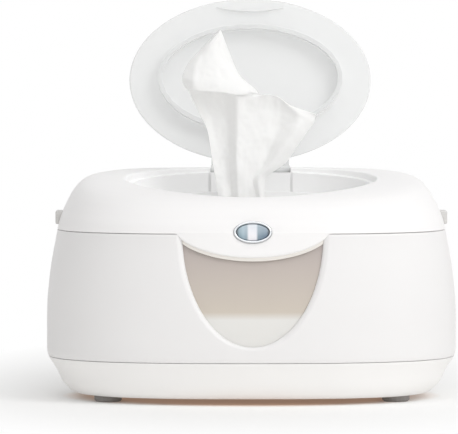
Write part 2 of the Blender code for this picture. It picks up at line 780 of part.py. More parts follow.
def make_tub(finish):
    edge = TUB_WALL
    outer = [tub_ring(TUB_BOTTOM, edge), tub_ring(TUB_BOTTOM + edge, 0.0), tub_ring(FLANGE_TOP, 0.0)]
    tub = loft("inner_tub", outer, finish["tub"])
    shell_x, shell_y = body_half_sizes(FLANGE_BOTTOM)
    rim_x = shell_x - WALL - FIT
    rim_y = shell_y - WALL - FIT
    root_x, root_y = tub_half_sizes(FLANGE_TOP, TUB_WALL / 2)
    rim = [
        oval(root_x, root_y, FLANGE_BOTTOM),
        oval(rim_x, rim_y, FLANGE_BOTTOM),
        oval(rim_x, rim_y, FLANGE_TOP),
        oval(root_x, root_y, FLANGE_TOP),
    ]
    add(tub, loft("tub_rim", rim, closed=True))
    inner, outer_line = duct_outlines()
    front = WALL + LENS_THICKNESS + WINDOW_SEAL_THICKNESS + 3 * FIT
    back = -tub_half_sizes(TUB_BOTTOM, TUB_WALL)[1] + OVERRUN / 2
    duct = [at_depth(inner, back), at_depth(outer_line, back)]
    duct += [on_face(outer_line, front), on_face(inner, front)]
    add(tub, loft("window_duct", duct, closed=True))
    inside = [
        tub_ring(TUB_BOTTOM + TUB_WALL, TUB_WALL + edge),
        tub_ring(TUB_BOTTOM + TUB_WALL + edge, TUB_WALL),
        tub_ring(FLANGE_TOP, TUB_WALL),
    ]
    inside.append([point + Vector((0, 0, OVERRUN)) for point in inside[-1]])
    cut(tub, loft("tub_inside", inside))
    shave = FIT / 3
    half = WINDOW_HALF_WIDTH - WINDOW_BEVEL + DUCT_MARGIN + shave
    drop = WINDOW_DROP - WINDOW_BEVEL_DROP + DUCT_MARGIN + shave
    opening = window_outline(half, drop, SHELL_TOP - DUCT_TOP_DROP + shave)
    front_y = -BODY_HALF_DEPTH - OVERRUN
    cut(tub, loft("duct_opening", [at_depth(opening, front_y), at_depth(opening, back + OVERRUN)]))
    low = (-FRONT_RELIEF_HALF_WIDTH, front_y, SHELL_TOP - DUCT_TOP_DROP + DUCT_WALL + FIT)
    high = (FRONT_RELIEF_HALF_WIDTH, -tub_half_sizes(FLANGE_TOP, -FIT)[1], SHELL_TOP)
    cut(tub, block("flange_relief", low, high))
    return tub


# Cover

def make_cover(finish):
    skirt_low = SEAM - TONGUE_DROP - OVERRUN / 2
    outside = [body_ring(z, 0.0) for z in body_levels(skirt_low, SHELL_TOP)] + cover_rings(0.0)
    cover = loft("top_cover", outside, finish["shell"], pole=True)
    for side in (-1, 1):
        low_x = side * HINGE_X - KNUCKLE_WIDTH / 2
        high_x = side * HINGE_X + KNUCKLE_WIDTH / 2
        name = "cover_knuckle_" + str(side)
        add(cover, *hinge_ear(name, low_x, high_x, HINGE_SIDE_GAP + SEAM_GAP, HINGE_ARM))

    low_levels = body_levels(skirt_low - OVERRUN, SHELL_TOP)
    hollow = [body_ring(z, COVER_WALL) for z in low_levels] + cover_rings(COVER_WALL)
    inside = loft("cover_inside", hollow, pole=True)
    ring_x = LID_HALF_WIDTH + LID_EDGE_GAP
    ring_y = LID_HALF_LENGTH + LID_EDGE_GAP
    high_z = CREST + OVERRUN
    keep_floor = RECESS_FLOOR - COVER_WALL
    keep = [
        oval(ring_x + COVER_WALL, ring_y + COVER_WALL, keep_floor, LID_CENTRE_Y, 2),
        oval(ring_x + COVER_WALL, ring_y + COVER_WALL, high_z, LID_CENTRE_Y, 2),
    ]
    cut(inside, loft("recess_wall", keep))
    well_x = NECK_HALF_WIDTH + NECK_GAP
    well_back = PIVOT_Y + WELL_DEPTH
    well_floor = PIVOT_Z - HINGE_PANEL_DROP
    low = (-well_x - PIN_SEAT - COVER_WALL, HINGE_PANEL_Y, PIVOT_Z - BARREL_RADIUS - FIT - COVER_WALL)
    high = (well_x + PIN_SEAT + COVER_WALL, well_back + COVER_WALL, high_z)
    cut(inside, block("well_wall", low, high))
    pad_z = SEAM + INLET_ABOVE_SEAM
    pad_radius = INLET_RADIUS + INLET_FLANGE + FIT + COVER_WALL / 2
    pad_start = (0, inlet_seat() - COVER_WALL, pad_z)
    cut(inside, rod("inlet_pad", pad_radius, pad_start, (0, BODY_HALF_DEPTH + OVERRUN, pad_z)))
    for name, x, y in cover_screw_places():
        boss_low = Vector((x, y, PAN_TOP + FIT))
        cut(inside, rod("cover_boss_" + name, BOSS_RADIUS, boss_low, (x, y, high_z)))
    cut(cover, inside)

    trim = block(
        "skirt_trim",
        (-BODY_HALF_WIDTH - OVERRUN, -BODY_HALF_DEPTH - OVERRUN, skirt_low - OVERRUN),
        (BODY_HALF_WIDTH + OVERRUN, HINGE_Y - HINGE_RADIUS - FIT, SEAM),
    )
    half = WINDOW_HALF_WIDTH - TONGUE_GAP
    wide = open_top(tongue_outline(half, TONGUE_DROP))
    narrow = open_top(tongue_outline(half - WINDOW_BEVEL, TONGUE_DROP))
    cut(trim, bevelled_cutter("tongue_shape", narrow, wide))
    cut(cover, trim)

    def ledge(y):
        return lid_plane(y) - (LID_THICKNESS + FIT) / cos(LID_SLOPE)

    step_x = ring_x - LID_LEDGE
    step_y = ring_y - LID_LEDGE
    recess = loft("recess_cutter", [
        oval(step_x, step_y, RECESS_FLOOR, LID_CENTRE_Y, 2),
        oval(step_x, step_y, ledge, LID_CENTRE_Y, 2),
        oval(ring_x, ring_y, ledge, LID_CENTRE_Y, 2),
        oval(ring_x, ring_y, high_z, LID_CENTRE_Y, 2),
    ])
    panel_low = (-well_x, HINGE_PANEL_Y, RECESS_FLOOR - OVERRUN)
    cut(recess, block("hinge_panel", panel_low, (well_x, well_back, well_floor)))
    cut(cover, recess)
    well = block("neck_well", (-well_x, HINGE_PANEL_Y - OVERRUN, well_floor), (well_x, well_back, high_z))
    cut(cover, well)
    start = (-well_x, PIVOT_Y, PIVOT_Z)
    end = (well_x, PIVOT_Y, PIVOT_Z)
    cut(cover, rod("barrel_well", BARREL_RADIUS + NECK_GAP, start, end, count=KNUCKLE_POINTS))
    pin_x = well_x + PIN_SEAT
    start = (-pin_x, PIVOT_Y, PIVOT_Z)
    end = (pin_x, PIVOT_Y, PIVOT_Z)
    cut(cover, rod("pin_bore", LID_PIN_RADIUS + FIT / 2, start, end))

    def collar_top(y):
        depth = LID_THICKNESS + RIB_HEIGHT + SEAL_HEIGHT + 2 * FIT
        return lid_plane(y) - depth / cos(LID_SLOPE)

    def collar_ring(half_x, half_y, height):
        return oval(half_x, half_y, height, LID_CENTRE_Y, 2, RIB_POINTS, RIB_PHASE_SHARE)

    inner_x = RIB_HALF_WIDTH - RIB_WALL
    inner_y = RIB_HALF_LENGTH - RIB_WALL
    collar = loft("seal_collar", [
        collar_ring(RIB_HALF_WIDTH, RIB_HALF_LENGTH, RECESS_FLOOR - FIT),
        collar_ring(RIB_HALF_WIDTH, RIB_HALF_LENGTH, collar_top),
        collar_ring(inner_x, inner_y, collar_top),
        collar_ring(inner_x, inner_y, RECESS_FLOOR - FIT),
    ], closed=True)
    add(cover, collar)
    slot_x = SLOT_HALF_WIDTH + INSERT_SLEEVE + FIT
    slot_y = SLOT_HALF_DEPTH + INSERT_SLEEVE + FIT
    slot = loft("slot_cutter", [
        oval(slot_x, slot_y, keep_floor - OVERRUN / 2, LID_CENTRE_Y, 2, SLOT_POINTS),
        oval(slot_x, slot_y, RECESS_FLOOR + FIT, LID_CENTRE_Y, 2, SLOT_POINTS),
    ])
    cut(cover, slot)
    for name, x, y in cover_screw_places():
        hole_top = (x, y, PAN_TOP + COVER_SCREW_LENGTH + FIT)
        cut(cover, rod("cover_pilot_" + name, SCREW_SHANK + FIT, (x, y, PAN_BOTTOM), hole_top))

    place = button_frame()
    seat = turned("bezel_seat", (
        (BEZEL_HALF_WIDTH + FIT, BEZEL_HALF_HEIGHT + FIT, -BEZEL_FLANGE),
        (BEZEL_HALF_WIDTH + FIT, BEZEL_HALF_HEIGHT + FIT, OVERRUN),
    ), count=BUTTON_POINTS)
    sleeve_x = BEZEL_HALF_WIDTH - BEZEL_LIP + FIT
    sleeve_y = BEZEL_HALF_HEIGHT - BEZEL_LIP + FIT
    hole = turned("bezel_hole", (
        (sleeve_x, sleeve_y, -OVERRUN),
        (sleeve_x, sleeve_y, OVERRUN),
    ), count=BUTTON_POINTS)
    for tool in (seat, hole):
        place(tool)
        cut(cover, tool)

    tab_low_z = SEAM + TAB_BOTTOM - TAB_GAP
    tab_high_z = SEAM + TAB_BOTTOM + TAB_HEIGHT + TAB_GAP
    tab_y = TAB_HALF_LENGTH + TAB_GAP
    for side in (-1, 1):
        near_x = side * (BODY_HALF_WIDTH - SHOULDER_INSET / 2)
        far_x = side * (BODY_HALF_WIDTH + OVERRUN)
        low = (min(near_x, far_x), -tab_y, tab_low_z)
        high = (max(near_x, far_x), tab_y, tab_high_z)
        cut(cover, block("tab_hole_" + str(side), low, high))
        start = (side * HINGE_X - KNUCKLE_WIDTH, HINGE_Y, HINGE_Z)
        end = (side * HINGE_X + KNUCKLE_WIDTH, HINGE_Y, HINGE_Z)
        cut(cover, rod("cover_bore_" + str(side), HINGE_PIN_RADIUS + FIT, start, end))
    inlet_z = SEAM + INLET_ABOVE_SEAM
    seat_radius = INLET_RADIUS + INLET_FLANGE + FIT
    rear = BODY_HALF_DEPTH + OVERRUN
    start = (0, inlet_seat(), inlet_z)
    end = (0, rear, inlet_z)
    cut(cover, rod("inlet_seat", seat_radius, start, end, count=INLET_POINTS))
    start = (0, PIVOT_Y + OVERRUN, inlet_z)
    cut(cover, rod("inlet_hole", INLET_RADIUS + FIT, start, end, count=INLET_POINTS))
    return cover


def cover_screw_places():
    places = []
    for side, x in (("left", -COVER_SCREW_X), ("right", COVER_SCREW_X)):
        places.append(("front_" + side, x, COVER_SCREW_FRONT_Y))
        places.append(("rear_" + side, x, COVER_SCREW_REAR_Y))
    return places


# Flip lid, built upright from its pivot: x across, z along the lid, y towards its outer face

def lid_oval(half_x, half_z, centre, y, count=RING_POINTS, phase=0.0):
    flat = oval(half_x, half_z, 0.0, 0.0, 2, count, phase)
    return [Vector((point.x, y, centre + point.y)) for point in flat]


def make_lid(finish):
    outer = PIVOT_BELOW_LID
    inner = outer - LID_THICKNESS
    centre = PIVOT_BEHIND_LID + LID_HALF_LENGTH
    rings = []
    for share in LID_RING_SHARES:
        rings.append(lid_oval(LID_HALF_WIDTH * share, LID_HALF_LENGTH * share, centre, inner))
    edge = LID_EDGE
    rings.append(lid_oval(LID_HALF_WIDTH - edge, LID_HALF_LENGTH - edge, centre, inner))
    rings.append(lid_oval(LID_HALF_WIDTH, LID_HALF_LENGTH, centre, inner + edge))
    rings.append(lid_oval(LID_HALF_WIDTH, LID_HALF_LENGTH, centre, outer - edge))
    rings.append(lid_oval(LID_HALF_WIDTH - edge, LID_HALF_LENGTH - edge, centre, outer))
    for share in reversed(LID_RING_SHARES):
        rise = outer + LID_CROWN * (1 - share ** 2)
        rings.append(lid_oval(LID_HALF_WIDTH * share, LID_HALF_LENGTH * share, centre, rise))
    lid = loft("flip_lid", rings, finish["lid"])
    rest = sqrt(1 - (NECK_HALF_WIDTH / LID_HALF_WIDTH) ** 2)
    overlap = PIVOT_BEHIND_LID + LID_LEDGE + LID_HALF_LENGTH * (1 - rest)
    neck_x = NECK_HALF_WIDTH - FIT
    neck = block("neck", (-neck_x, inner + FIT / 3, 0.0), (neck_x, outer - FIT / 3, overlap))
    start = (-NECK_HALF_WIDTH, 0, 0)
    end = (NECK_HALF_WIDTH, 0, 0)
    barrel = rod("barrel", BARREL_RADIUS, start, end, count=KNUCKLE_POINTS)
    low = inner - RIB_HEIGHT

    def rib_ring(half_x, half_z, y):
        return lid_oval(half_x, half_z, centre, y, RIB_POINTS, RIB_PHASE_SHARE)

    rib_x = RIB_HALF_WIDTH - RIB_WALL
    rib_z = RIB_HALF_LENGTH - RIB_WALL
    rib = loft("lid_rib", [
        rib_ring(RIB_HALF_WIDTH, RIB_HALF_LENGTH, inner + FIT),
        rib_ring(RIB_HALF_WIDTH, RIB_HALF_LENGTH, low),
        rib_ring(rib_x, rib_z, low),
        rib_ring(rib_x, rib_z, inner + FIT),
    ], closed=True)
    add(lid, neck, barrel, rib, thumb_lip(inner, centre))
    start = (-NECK_HALF_WIDTH - OVERRUN, 0, 0)
    end = (NECK_HALF_WIDTH + OVERRUN, 0, 0)
    bore = rod("barrel_bore", LID_PIN_RADIUS + FIT, start, end)
    cut(lid, bore)
    middle = (RIB_WALL - SEAL_WIDTH) / 2
    wide = RIB_HALF_WIDTH - middle
    long = RIB_HALF_LENGTH - middle
    seal = loft("lid_gasket", [
        rib_ring(wide, long, low - FIT),
        rib_ring(wide, long, low - SEAL_HEIGHT),
        rib_ring(wide - SEAL_WIDTH, long - SEAL_WIDTH, low - SEAL_HEIGHT),
        rib_ring(wide - SEAL_WIDTH, long - SEAL_WIDTH, low - FIT),
    ], finish["seal"], closed=True)
    for piece in (lid, neck, barrel, rib, bore, seal, bpy.data.objects["thumb_lip"]):
        piece.rotation_mode = 'XYZ'
        along = piece.rotation_euler.to_matrix().to_4x4()
        place = along.copy()
        place.translation = piece.location
        piece.matrix_world = lid_matrix() @ place
    return lid


def lid_matrix():
    """Place of the open lid: upright on its pivot, leaning back."""
    return Matrix.Translation((0, PIVOT_Y, PIVOT_Z)) @ Matrix.Rotation(-LID_LEAN, 4, 'X')


def thumb_lip(inner, centre):
    """Crescent rib for the thumb, inside the lid's free edge."""
    far = centre + LID_HALF_LENGTH - THUMB_INSET
    rows = []
    for step in range(THUMB_STEPS + 1):
        share = between(-1, 1, step / THUMB_STEPS)
        x = THUMB_HALF_WIDTH * share
        sag = THUMB_REACH * (1 - share ** 2)
        rows.append((x, far - sag))
    bm = bmesh.new()
    rings = []
    for x, z in rows:
        ring = []
        top = z + THUMB_WALL
        low_y = inner - THUMB_REACH
        for y, height in ((inner + FIT, z), (low_y, z), (low_y, top), (inner + FIT, top)):
            ring.append(bm.verts.new((x, y, height)))
        rings.append(ring)
    for low, high in zip(rings, rings[1:]):
        for here in range(len(low)):
            after = (here + 1) % len(low)
            bm.faces.new((low[here], low[after], high[after], high[here]))
    bm.faces.new(rings[0])
    bm.faces.new(rings[-1])
    return solid("thumb_lip", bm)


# Pieces under the cover

def make_cover_inside(finish):
    half_x, half_y = body_half_sizes(SHELL_TOP)
    inset = COVER_WALL + FIT + wall_lean(PAN_TOP, -half_y)
    pan_x = half_x - inset
    pan_y = half_y - inset
    slab = [oval(pan_x, pan_y, PAN_BOTTOM), oval(pan_x, pan_y, PAN_TOP)]
    pan = loft("cover_underpan", slab, finish["tub"])
    fence_low = PLATE_TOP - HEATER_THICKNESS
    fence_x = HEATER_HALF_WIDTH + FENCE_WALL
    fence_y = HEATER_HALF_DEPTH + FENCE_WALL
    fence = loft("heater_fence", [
        oval(HEATER_HALF_WIDTH + FIT, HEATER_HALF_DEPTH + FIT, PAN_BOTTOM + FIT, LID_CENTRE_Y),
        oval(HEATER_HALF_WIDTH + FIT, HEATER_HALF_DEPTH + FIT, fence_low, LID_CENTRE_Y),
        oval(fence_x, fence_y, fence_low, LID_CENTRE_Y),
        oval(fence_x, fence_y, PAN_BOTTOM + FIT, LID_CENTRE_Y),
    ], closed=True)
    add(pan, fence)
    hole = loft("passage", [
        oval(PASSAGE_HALF_WIDTH, PASSAGE_HALF_DEPTH, PLATE_TOP - OVERRUN, LID_CENTRE_Y, 2, SLOT_POINTS),
        oval(PASSAGE_HALF_WIDTH, PASSAGE_HALF_DEPTH, PAN_TOP + FIT, LID_CENTRE_Y, 2, SLOT_POINTS),
    ])
    cut(pan, hole)
    board_front = board_y()
    relief_x = BOARD_HALF_WIDTH + LIP_WALL
    relief_back = board_front + BOARD_THICKNESS + 2 * FIT
    low = (-relief_x, -BODY_HALF_DEPTH, PAN_BOTTOM - OVERRUN)
    cut(pan, block("board_relief", low, (relief_x, relief_back, PAN_TOP + OVERRUN)))
    for name, x, y in cover_screw_places():
        low = Vector((x, y, PAN_BOTTOM - OVERRUN))
        cut(pan, rod("pan_hole_" + name, SCREW_SHANK + FIT, low, (x, y, PAN_TOP + FIT)))
        head = (x, y, PAN_BOTTOM - FIT - SCREW_HEAD_HEIGHT)
        screw("cover_screw_" + name, head, COVER_SCREW_LENGTH, finish["steel"])

    for name, wide, high, thick, look in (
        ("heater_film", FIT, FILM_TOP, FILM_THICKNESS, "film"),
        ("heater_plate", 0.0, PLATE_TOP, HEATER_THICKNESS, "aluminium"),
    ):
        sheet_x = HEATER_HALF_WIDTH - wide
        sheet_y = HEATER_HALF_DEPTH - wide
        loft(name, [
            oval(sheet_x, sheet_y, high, LID_CENTRE_Y),
            oval(sheet_x, sheet_y, high - thick, LID_CENTRE_Y),
            oval(PASSAGE_HALF_WIDTH + wide, PASSAGE_HALF_DEPTH + wide, high - thick, LID_CENTRE_Y, 2),
            oval(PASSAGE_HALF_WIDTH + wide, PASSAGE_HALF_DEPTH + wide, high, LID_CENTRE_Y, 2),
        ], finish[look], closed=True)

    rim_x, rim_y = tub_half_sizes(FLANGE_TOP, TUB_WALL / 2)
    gasket = []
    for reach, height in ((1, 0), (1, 1), (-1, 1), (-1, 0)):
        move = reach * GASKET_WIDTH / 2
        gasket.append(oval(rim_x + move, rim_y + move, GASKET_BOTTOM + GASKET_THICKNESS * height))
    loft("cover_gasket", gasket, finish["seal"], closed=True)

    small = THERMOSTAT_RADIUS - LIP_WALL
    disc = turned("thermostat", (
        (THERMOSTAT_RADIUS, THERMOSTAT_RADIUS, 0),
        (THERMOSTAT_RADIUS, THERMOSTAT_RADIUS, THERMOSTAT_HEIGHT / 2),
        (small, small, THERMOSTAT_HEIGHT / 2),
        (small, small, THERMOSTAT_HEIGHT),
    ), finish["black"])
    disc.location = (THERMOSTAT_X, THERMOSTAT_Y, PAN_TOP + FIT)

    insert_x = SLOT_HALF_WIDTH + INSERT_SLEEVE
    insert_y = SLOT_HALF_DEPTH + INSERT_SLEEVE
    sleeve_low = RECESS_FLOOR - COVER_WALL - FIT
    flange = RECESS_FLOOR + FIT
    rings = [
        (SLOT_HALF_WIDTH, SLOT_HALF_DEPTH, sleeve_low),
        (insert_x, insert_y, sleeve_low),
        (insert_x, insert_y, flange),
        (insert_x + INSERT_FLANGE, insert_y + INSERT_FLANGE, flange),
        (insert_x + INSERT_FLANGE, insert_y + INSERT_FLANGE, INSERT_TOP),
        (SLOT_HALF_WIDTH, SLOT_HALF_DEPTH, INSERT_TOP + INSERT_RISE),
    ]
    ovals = [oval(*size, LID_CENTRE_Y, 2, SLOT_POINTS) for size in rings]
    loft("dispenser_seal", ovals, finish["seal"], closed=True)

    pin_x = NECK_HALF_WIDTH + NECK_GAP + PIN_SEAT - FIT
    start = (-pin_x, PIVOT_Y, PIVOT_Z)
    end = (pin_x, PIVOT_Y, PIVOT_Z)
    rod("lid_hinge_pin", LID_PIN_RADIUS, start, end, finish["steel"])


def rear_face(z):
    """Y of the cover's rear surface at x = 0."""
    half_y = body_half_sizes(SHELL_TOP)[1]
    share = (z - SEAM) / CREST_HEIGHT
    for low, high in zip(SHOULDER_SHARES, SHOULDER_SHARES[1:]):
        if share <= high[1]:
            along = (share - low[1]) / (high[1] - low[1])
            return half_y - SHOULDER_INSET * between(low[0], high[0], along)
    return half_y - SHOULDER_INSET


def inlet_seat():
    """Y of the flat seat sunk into the cover's rear for the inlet's flange."""
    return rear_face(SEAM + INLET_ABOVE_SEAM + INLET_RADIUS + INLET_FLANGE) - FIT


def make_inlet(finish):
    """Socket for the mains adapter, in the rear of the cover."""
    z = SEAM + INLET_ABOVE_SEAM
    wide = INLET_RADIUS + INLET_FLANGE
    out = inlet_seat() + FIT
    profile = (
        (INLET_BORE, INLET_BORE, out - INLET_BORE_DEPTH),
        (INLET_BORE, INLET_BORE, out + INLET_FLANGE_THICKNESS),
        (wide, wide, out + INLET_FLANGE_THICKNESS),
        (wide, wide, out),
        (INLET_RADIUS, INLET_RADIUS, out),
        (INLET_RADIUS, INLET_RADIUS, out - INLET_LENGTH),
    )
    inlet = turned("power_inlet", profile, finish["black"], count=INLET_POINTS)
    inlet.location = (0, 0, z)
    inlet.rotation_euler = (-pi / 2, 0, 0)
    return out - INLET_LENGTH, z


# Light button, built along its axis: z points out of the cover

def button_frame():
    z = SEAM + BUTTON_ABOVE_SEAM
    y = -body_half_sizes(SHELL_TOP)[1] + BUTTON_SINK

    def place(piece):
        piece.location = (0, y, z)
        piece.rotation_euler = (pi / 2 - BUTTON_TILT, 0, 0)

    return place


def button_parts():
    sleeve_x = BEZEL_HALF_WIDTH - BEZEL_LIP
    sleeve_y = BEZEL_HALF_HEIGHT - BEZEL_LIP
    inner_x = sleeve_x - SLEEVE_WALL
    inner_y = sleeve_y - SLEEVE_WALL
    return sleeve_x, sleeve_y, inner_x, inner_y


def button_back():
    return -SLEEVE_DEPTH - FIT - BUTTON_FLANGE_THICKNESS


def board_y():
    """Y of the board's front face, behind the switch and the button's travel."""
    y = -body_half_sizes(SHELL_TOP)[1] + BUTTON_SINK
    pressed = (BUTTON_TRAVEL - button_back()) / cos(BUTTON_TILT)
    lean = SWITCH_SIZE / 2 * tan(BUTTON_TILT)
    return y + pressed + lean + FIT + SWITCH_HEIGHT + FIT


def make_button(finish):
    place = button_frame()
    sleeve_x, sleeve_y, inner_x, inner_y = button_parts()
    flange_low = FIT - BEZEL_FLANGE
    crest_x = between(inner_x, BEZEL_HALF_WIDTH, 1 / 2)
    crest_y = between(inner_y, BEZEL_HALF_HEIGHT, 1 / 2)
    bezel = turned("button_bezel", (
        (inner_x, inner_y, -SLEEVE_DEPTH),
        (sleeve_x, sleeve_y, -SLEEVE_DEPTH),
        (sleeve_x, sleeve_y, flange_low),
        (BEZEL_HALF_WIDTH, BEZEL_HALF_HEIGHT, flange_low),
        (BEZEL_HALF_WIDTH, BEZEL_HALF_HEIGHT, FIT),
        (crest_x, crest_y, BEZEL_RISE),
        (inner_x, inner_y, FIT),
    ), finish["chrome"], count=BUTTON_POINTS, bore=True)
    cap_x = inner_x - BUTTON_GAP
    cap_y = inner_y - BUTTON_GAP
    wide_x = inner_x + BUTTON_FLANGE
    wide_y = inner_y + BUTTON_FLANGE
    collar = -SLEEVE_DEPTH - FIT
    profile = [
        (wide_x, wide_y, button_back()),
        (wide_x, wide_y, collar),
        (cap_x, cap_y, collar),
        (cap_x, cap_y, 0.0),
    ]
    for share in BUTTON_DOME_SHARES:
        profile.append((cap_x * share, cap_y * share, BUTTON_DOME * (1 - share ** 2)))
    button = turned("light_button", profile, finish["button"], count=BUTTON_POINTS)
    for piece in (bezel, button):
        place(piece)

    front = board_y()
    z = SEAM + BUTTON_ABOVE_SEAM
    low_z = z - BOARD_HEIGHT / 2
    board_low = (-BOARD_HALF_WIDTH, front, low_z)
    board_high = (BOARD_HALF_WIDTH, front + BOARD_THICKNESS, low_z + BOARD_HEIGHT)
    block("control_board", board_low, board_high, finish["board"])
    half = SWITCH_SIZE / 2
    switch_low = (-half, front - FIT - SWITCH_HEIGHT, z - half)
    block("tact_switch", switch_low, (half, front - FIT, z + half), finish["black"], edge=FIT)
    for name, side in (("led_left", -1), ("led_right", 1)):
        profile = (
            (LED_RADIUS, LED_RADIUS, 0),
            (LED_RADIUS, LED_RADIUS, LED_RADIUS),
            (LED_RADIUS / 2, LED_RADIUS / 2, SWITCH_HEIGHT - 2 * FIT),
        )
        led = turned(name, profile, finish["led"], count=ROD_POINTS)
        led.location = (side * LED_SPACING, front - FIT, z)
        led.rotation_euler = (pi / 2, 0, 0)
    return front


def lead(name, route, finish):
    """Round cable along a smooth curve through its route."""
    points = [Vector(point) for point in route]
    points = [2 * points[0] - points[1], *points, 2 * points[-1] - points[-2]]
    spans = len(points) - 3
    path = []
    for step in range(LEAD_POINTS + 1):
        along = spans * step / LEAD_POINTS
        span = min(int(along), spans - 1)
        t = along - span
        a, b, c, d = points[span:span + 4]
        path.append(0.5 * (2 * b + (c - a) * t + (2 * a - 5 * b + 4 * c - d) * t ** 2
                           + (3 * b - a - 3 * c + d) * t ** 3))
    curve = bpy.data.curves.new(name, 'CURVE')
    curve.dimensions = '3D'
    curve.bevel_depth = LEAD_RADIUS
    curve.bevel_resolution = 2
    curve.use_fill_caps = True
    spline = curve.splines.new('POLY')
    spline.points.add(len(path) - 1)
    for point, place in zip(spline.points, path):
        point.co = (*place, 1)
    curve.materials.append(finish)
    made = bpy.data.objects.new(name, curve)
    bpy.context.collection.objects.link(made)
    return made


def make_leads(finish, inlet_back, inlet_z, board_front):
    """Leads inside the cover: inlet to board round the recess, and board to thermostat."""
    half_x = body_half_sizes(SHELL_TOP)[0]
    front_y = board_front + BOARD_THICKNESS / 2
    board_x = BOARD_HALF_WIDTH + LEAD_RADIUS + FIT
    behind = inlet_back - 4 * LEAD_RADIUS
    lane = COVER_SCREW_X - BOSS_RADIUS - 2 * LEAD_RADIUS
    route = (
        (0, inlet_back - FIT, inlet_z),
        (-LEAD_RADIUS / 2, inlet_back - 2 * LEAD_RADIUS, inlet_z),
        (-half_x * 0.10, behind, inlet_z),
        (-half_x * 0.42, behind, inlet_z),
        (-lane * 0.90, COVER_SCREW_REAR_Y + LEAD_RADIUS, inlet_z),
        (-lane - LEAD_RADIUS, 0, inlet_z),
        (-lane * 0.94, COVER_SCREW_FRONT_Y, inlet_z - LEAD_RADIUS),
        (-half_x * 0.50, front_y * 0.88, inlet_z - 2 * LEAD_RADIUS),
        (-half_x * 0.30, front_y, inlet_z - 3 * LEAD_RADIUS),
        (-board_x, front_y, inlet_z - 3 * LEAD_RADIUS),
    )
    lead("inlet_lead", route, finish["lead"])
    low_z = PAN_TOP + FIT + LEAD_RADIUS
    stop_y = THERMOSTAT_Y - THERMOSTAT_RADIUS - FIT
    start_y = board_front + BOARD_THICKNESS + FIT
    route = (
        (-BOARD_HALF_WIDTH * 0.5, start_y, low_z),
        (-BOARD_HALF_WIDTH * 0.5, start_y + LEAD_RADIUS * 3, low_z),
        (-BOARD_HALF_WIDTH * 0.7, start_y + LEAD_RADIUS * 7, low_z),
        (THERMOSTAT_X * 0.55, -LID_HALF_LENGTH * 0.95, low_z),
        (THERMOSTAT_X * 0.88, -LID_HALF_LENGTH * 0.62, low_z),
        (THERMOSTAT_X, LID_CENTRE_Y, low_z),
        (THERMOSTAT_X, stop_y, low_z),
    )
    lead("heater_lead", route, finish["lead"])


# Side release tabs

def make_tabs(finish):
    half_x = body_half_sizes(SHELL_TOP)[0]
    low_z = SEAM + TAB_BOTTOM
    high_z = low_z + TAB_HEIGHT
    lean = wall_lean(high_z + TAB_FLANGE, -TAB_HALF_LENGTH - TAB_FLANGE)
    flange_out = half_x - lean - COVER_WALL - 3 * FIT
    flange_in = flange_out - TAB_FLANGE_THICKNESS
    for name, side in (("release_tab_left", -1), ("release_tab_right", 1)):
        outer = side * (half_x + TAB_PROUD)
        inner = side * flange_in
        edge = side * flange_out
        low = (min(outer, inner), -TAB_HALF_LENGTH, low_z)
        high = (max(outer, inner), TAB_HALF_LENGTH, high_z)
        tab = block(name, low, high, finish["shell"], edge=TAB_EDGE)
        low = (min(edge, inner), -TAB_HALF_LENGTH - TAB_FLANGE, low_z)
        high = (max(edge, inner), TAB_HALF_LENGTH + TAB_FLANGE, high_z + TAB_FLANGE)
        add(tab, block(name + "_flange", low, high))


# Wipes

def make_wipes(finish):
    low = TUB_BOTTOM + TUB_WALL + FIT
    rings = [
        oval(STACK_HALF_WIDTH, STACK_HALF_DEPTH, low, 0.0, STACK_POWER),
        oval(STACK_HALF_WIDTH, STACK_HALF_DEPTH, low + STACK_HEIGHT, 0.0, STACK_POWER),
    ]
    loft("wipe_stack", rings, finish["wipe"])
    # The foot is gathered by the slit and fills its depth; the wipe above it is flat
    bottom = RECESS_FLOOR - COVER_WALL
    edge_share = WIPE_SPREAD * WIPE_SHARES[0][0] / SLOT_HALF_WIDTH
    slit_depth = SLOT_HALF_DEPTH * sqrt(1 - edge_share ** 2) * cos(pi / SLOT_POINTS)
    bm = bmesh.new()
    layers = []
    for side in (-1, 1):
        layer = []
        for x, z in WIPE_SHARES:
            half = WIPE_THICKNESS / 2 if z else slit_depth - FIT
            y = LID_CENTRE_Y + side * half
            layer.append(bm.verts.new((WIPE_SPREAD * x, y, bottom + WIPE_HEIGHT * z)))
        bm.faces.new((*layer[:3], layer[-1]))
        bm.faces.new(layer[2:])
        layers.append(layer)
    for here in range(len(WIPE_SHARES)):
        after = (here + 1) % len(WIPE_SHARES)
        bm.faces.new((layers[0][here], layers[0][after], layers[1][after], layers[1][here]))
    solid("wipe_sheet", bm, finish["wipe"])


# Frames that carry the moving pieces

def carry(name, place, pieces):
    """Empty on a joint's axis, with the pieces that move about it."""
    frame = bpy.data.objects.new(name, None)
    bpy.context.collection.objects.link(frame)
    frame.location = place
    bpy.context.view_layer.update()
    for piece in pieces:
        made = bpy.data.objects[piece]
        made.parent = frame
        made.matrix_parent_inverse = frame.matrix_world.inverted()
    return frame


COVER_PIECES = (
    "top_cover", "cover_underpan", "cover_gasket", "dispenser_seal", "heater_film", "heater_plate",
    "thermostat", "control_board", "tact_switch", "led_left", "led_right", "button_bezel", "power_inlet",
    "inlet_lead", "heater_lead", "lid_hinge_pin", "cover_screw_front_left", "cover_screw_rear_left",
    "cover_screw_front_right", "cover_screw_rear_right", "wipe_sheet",
)


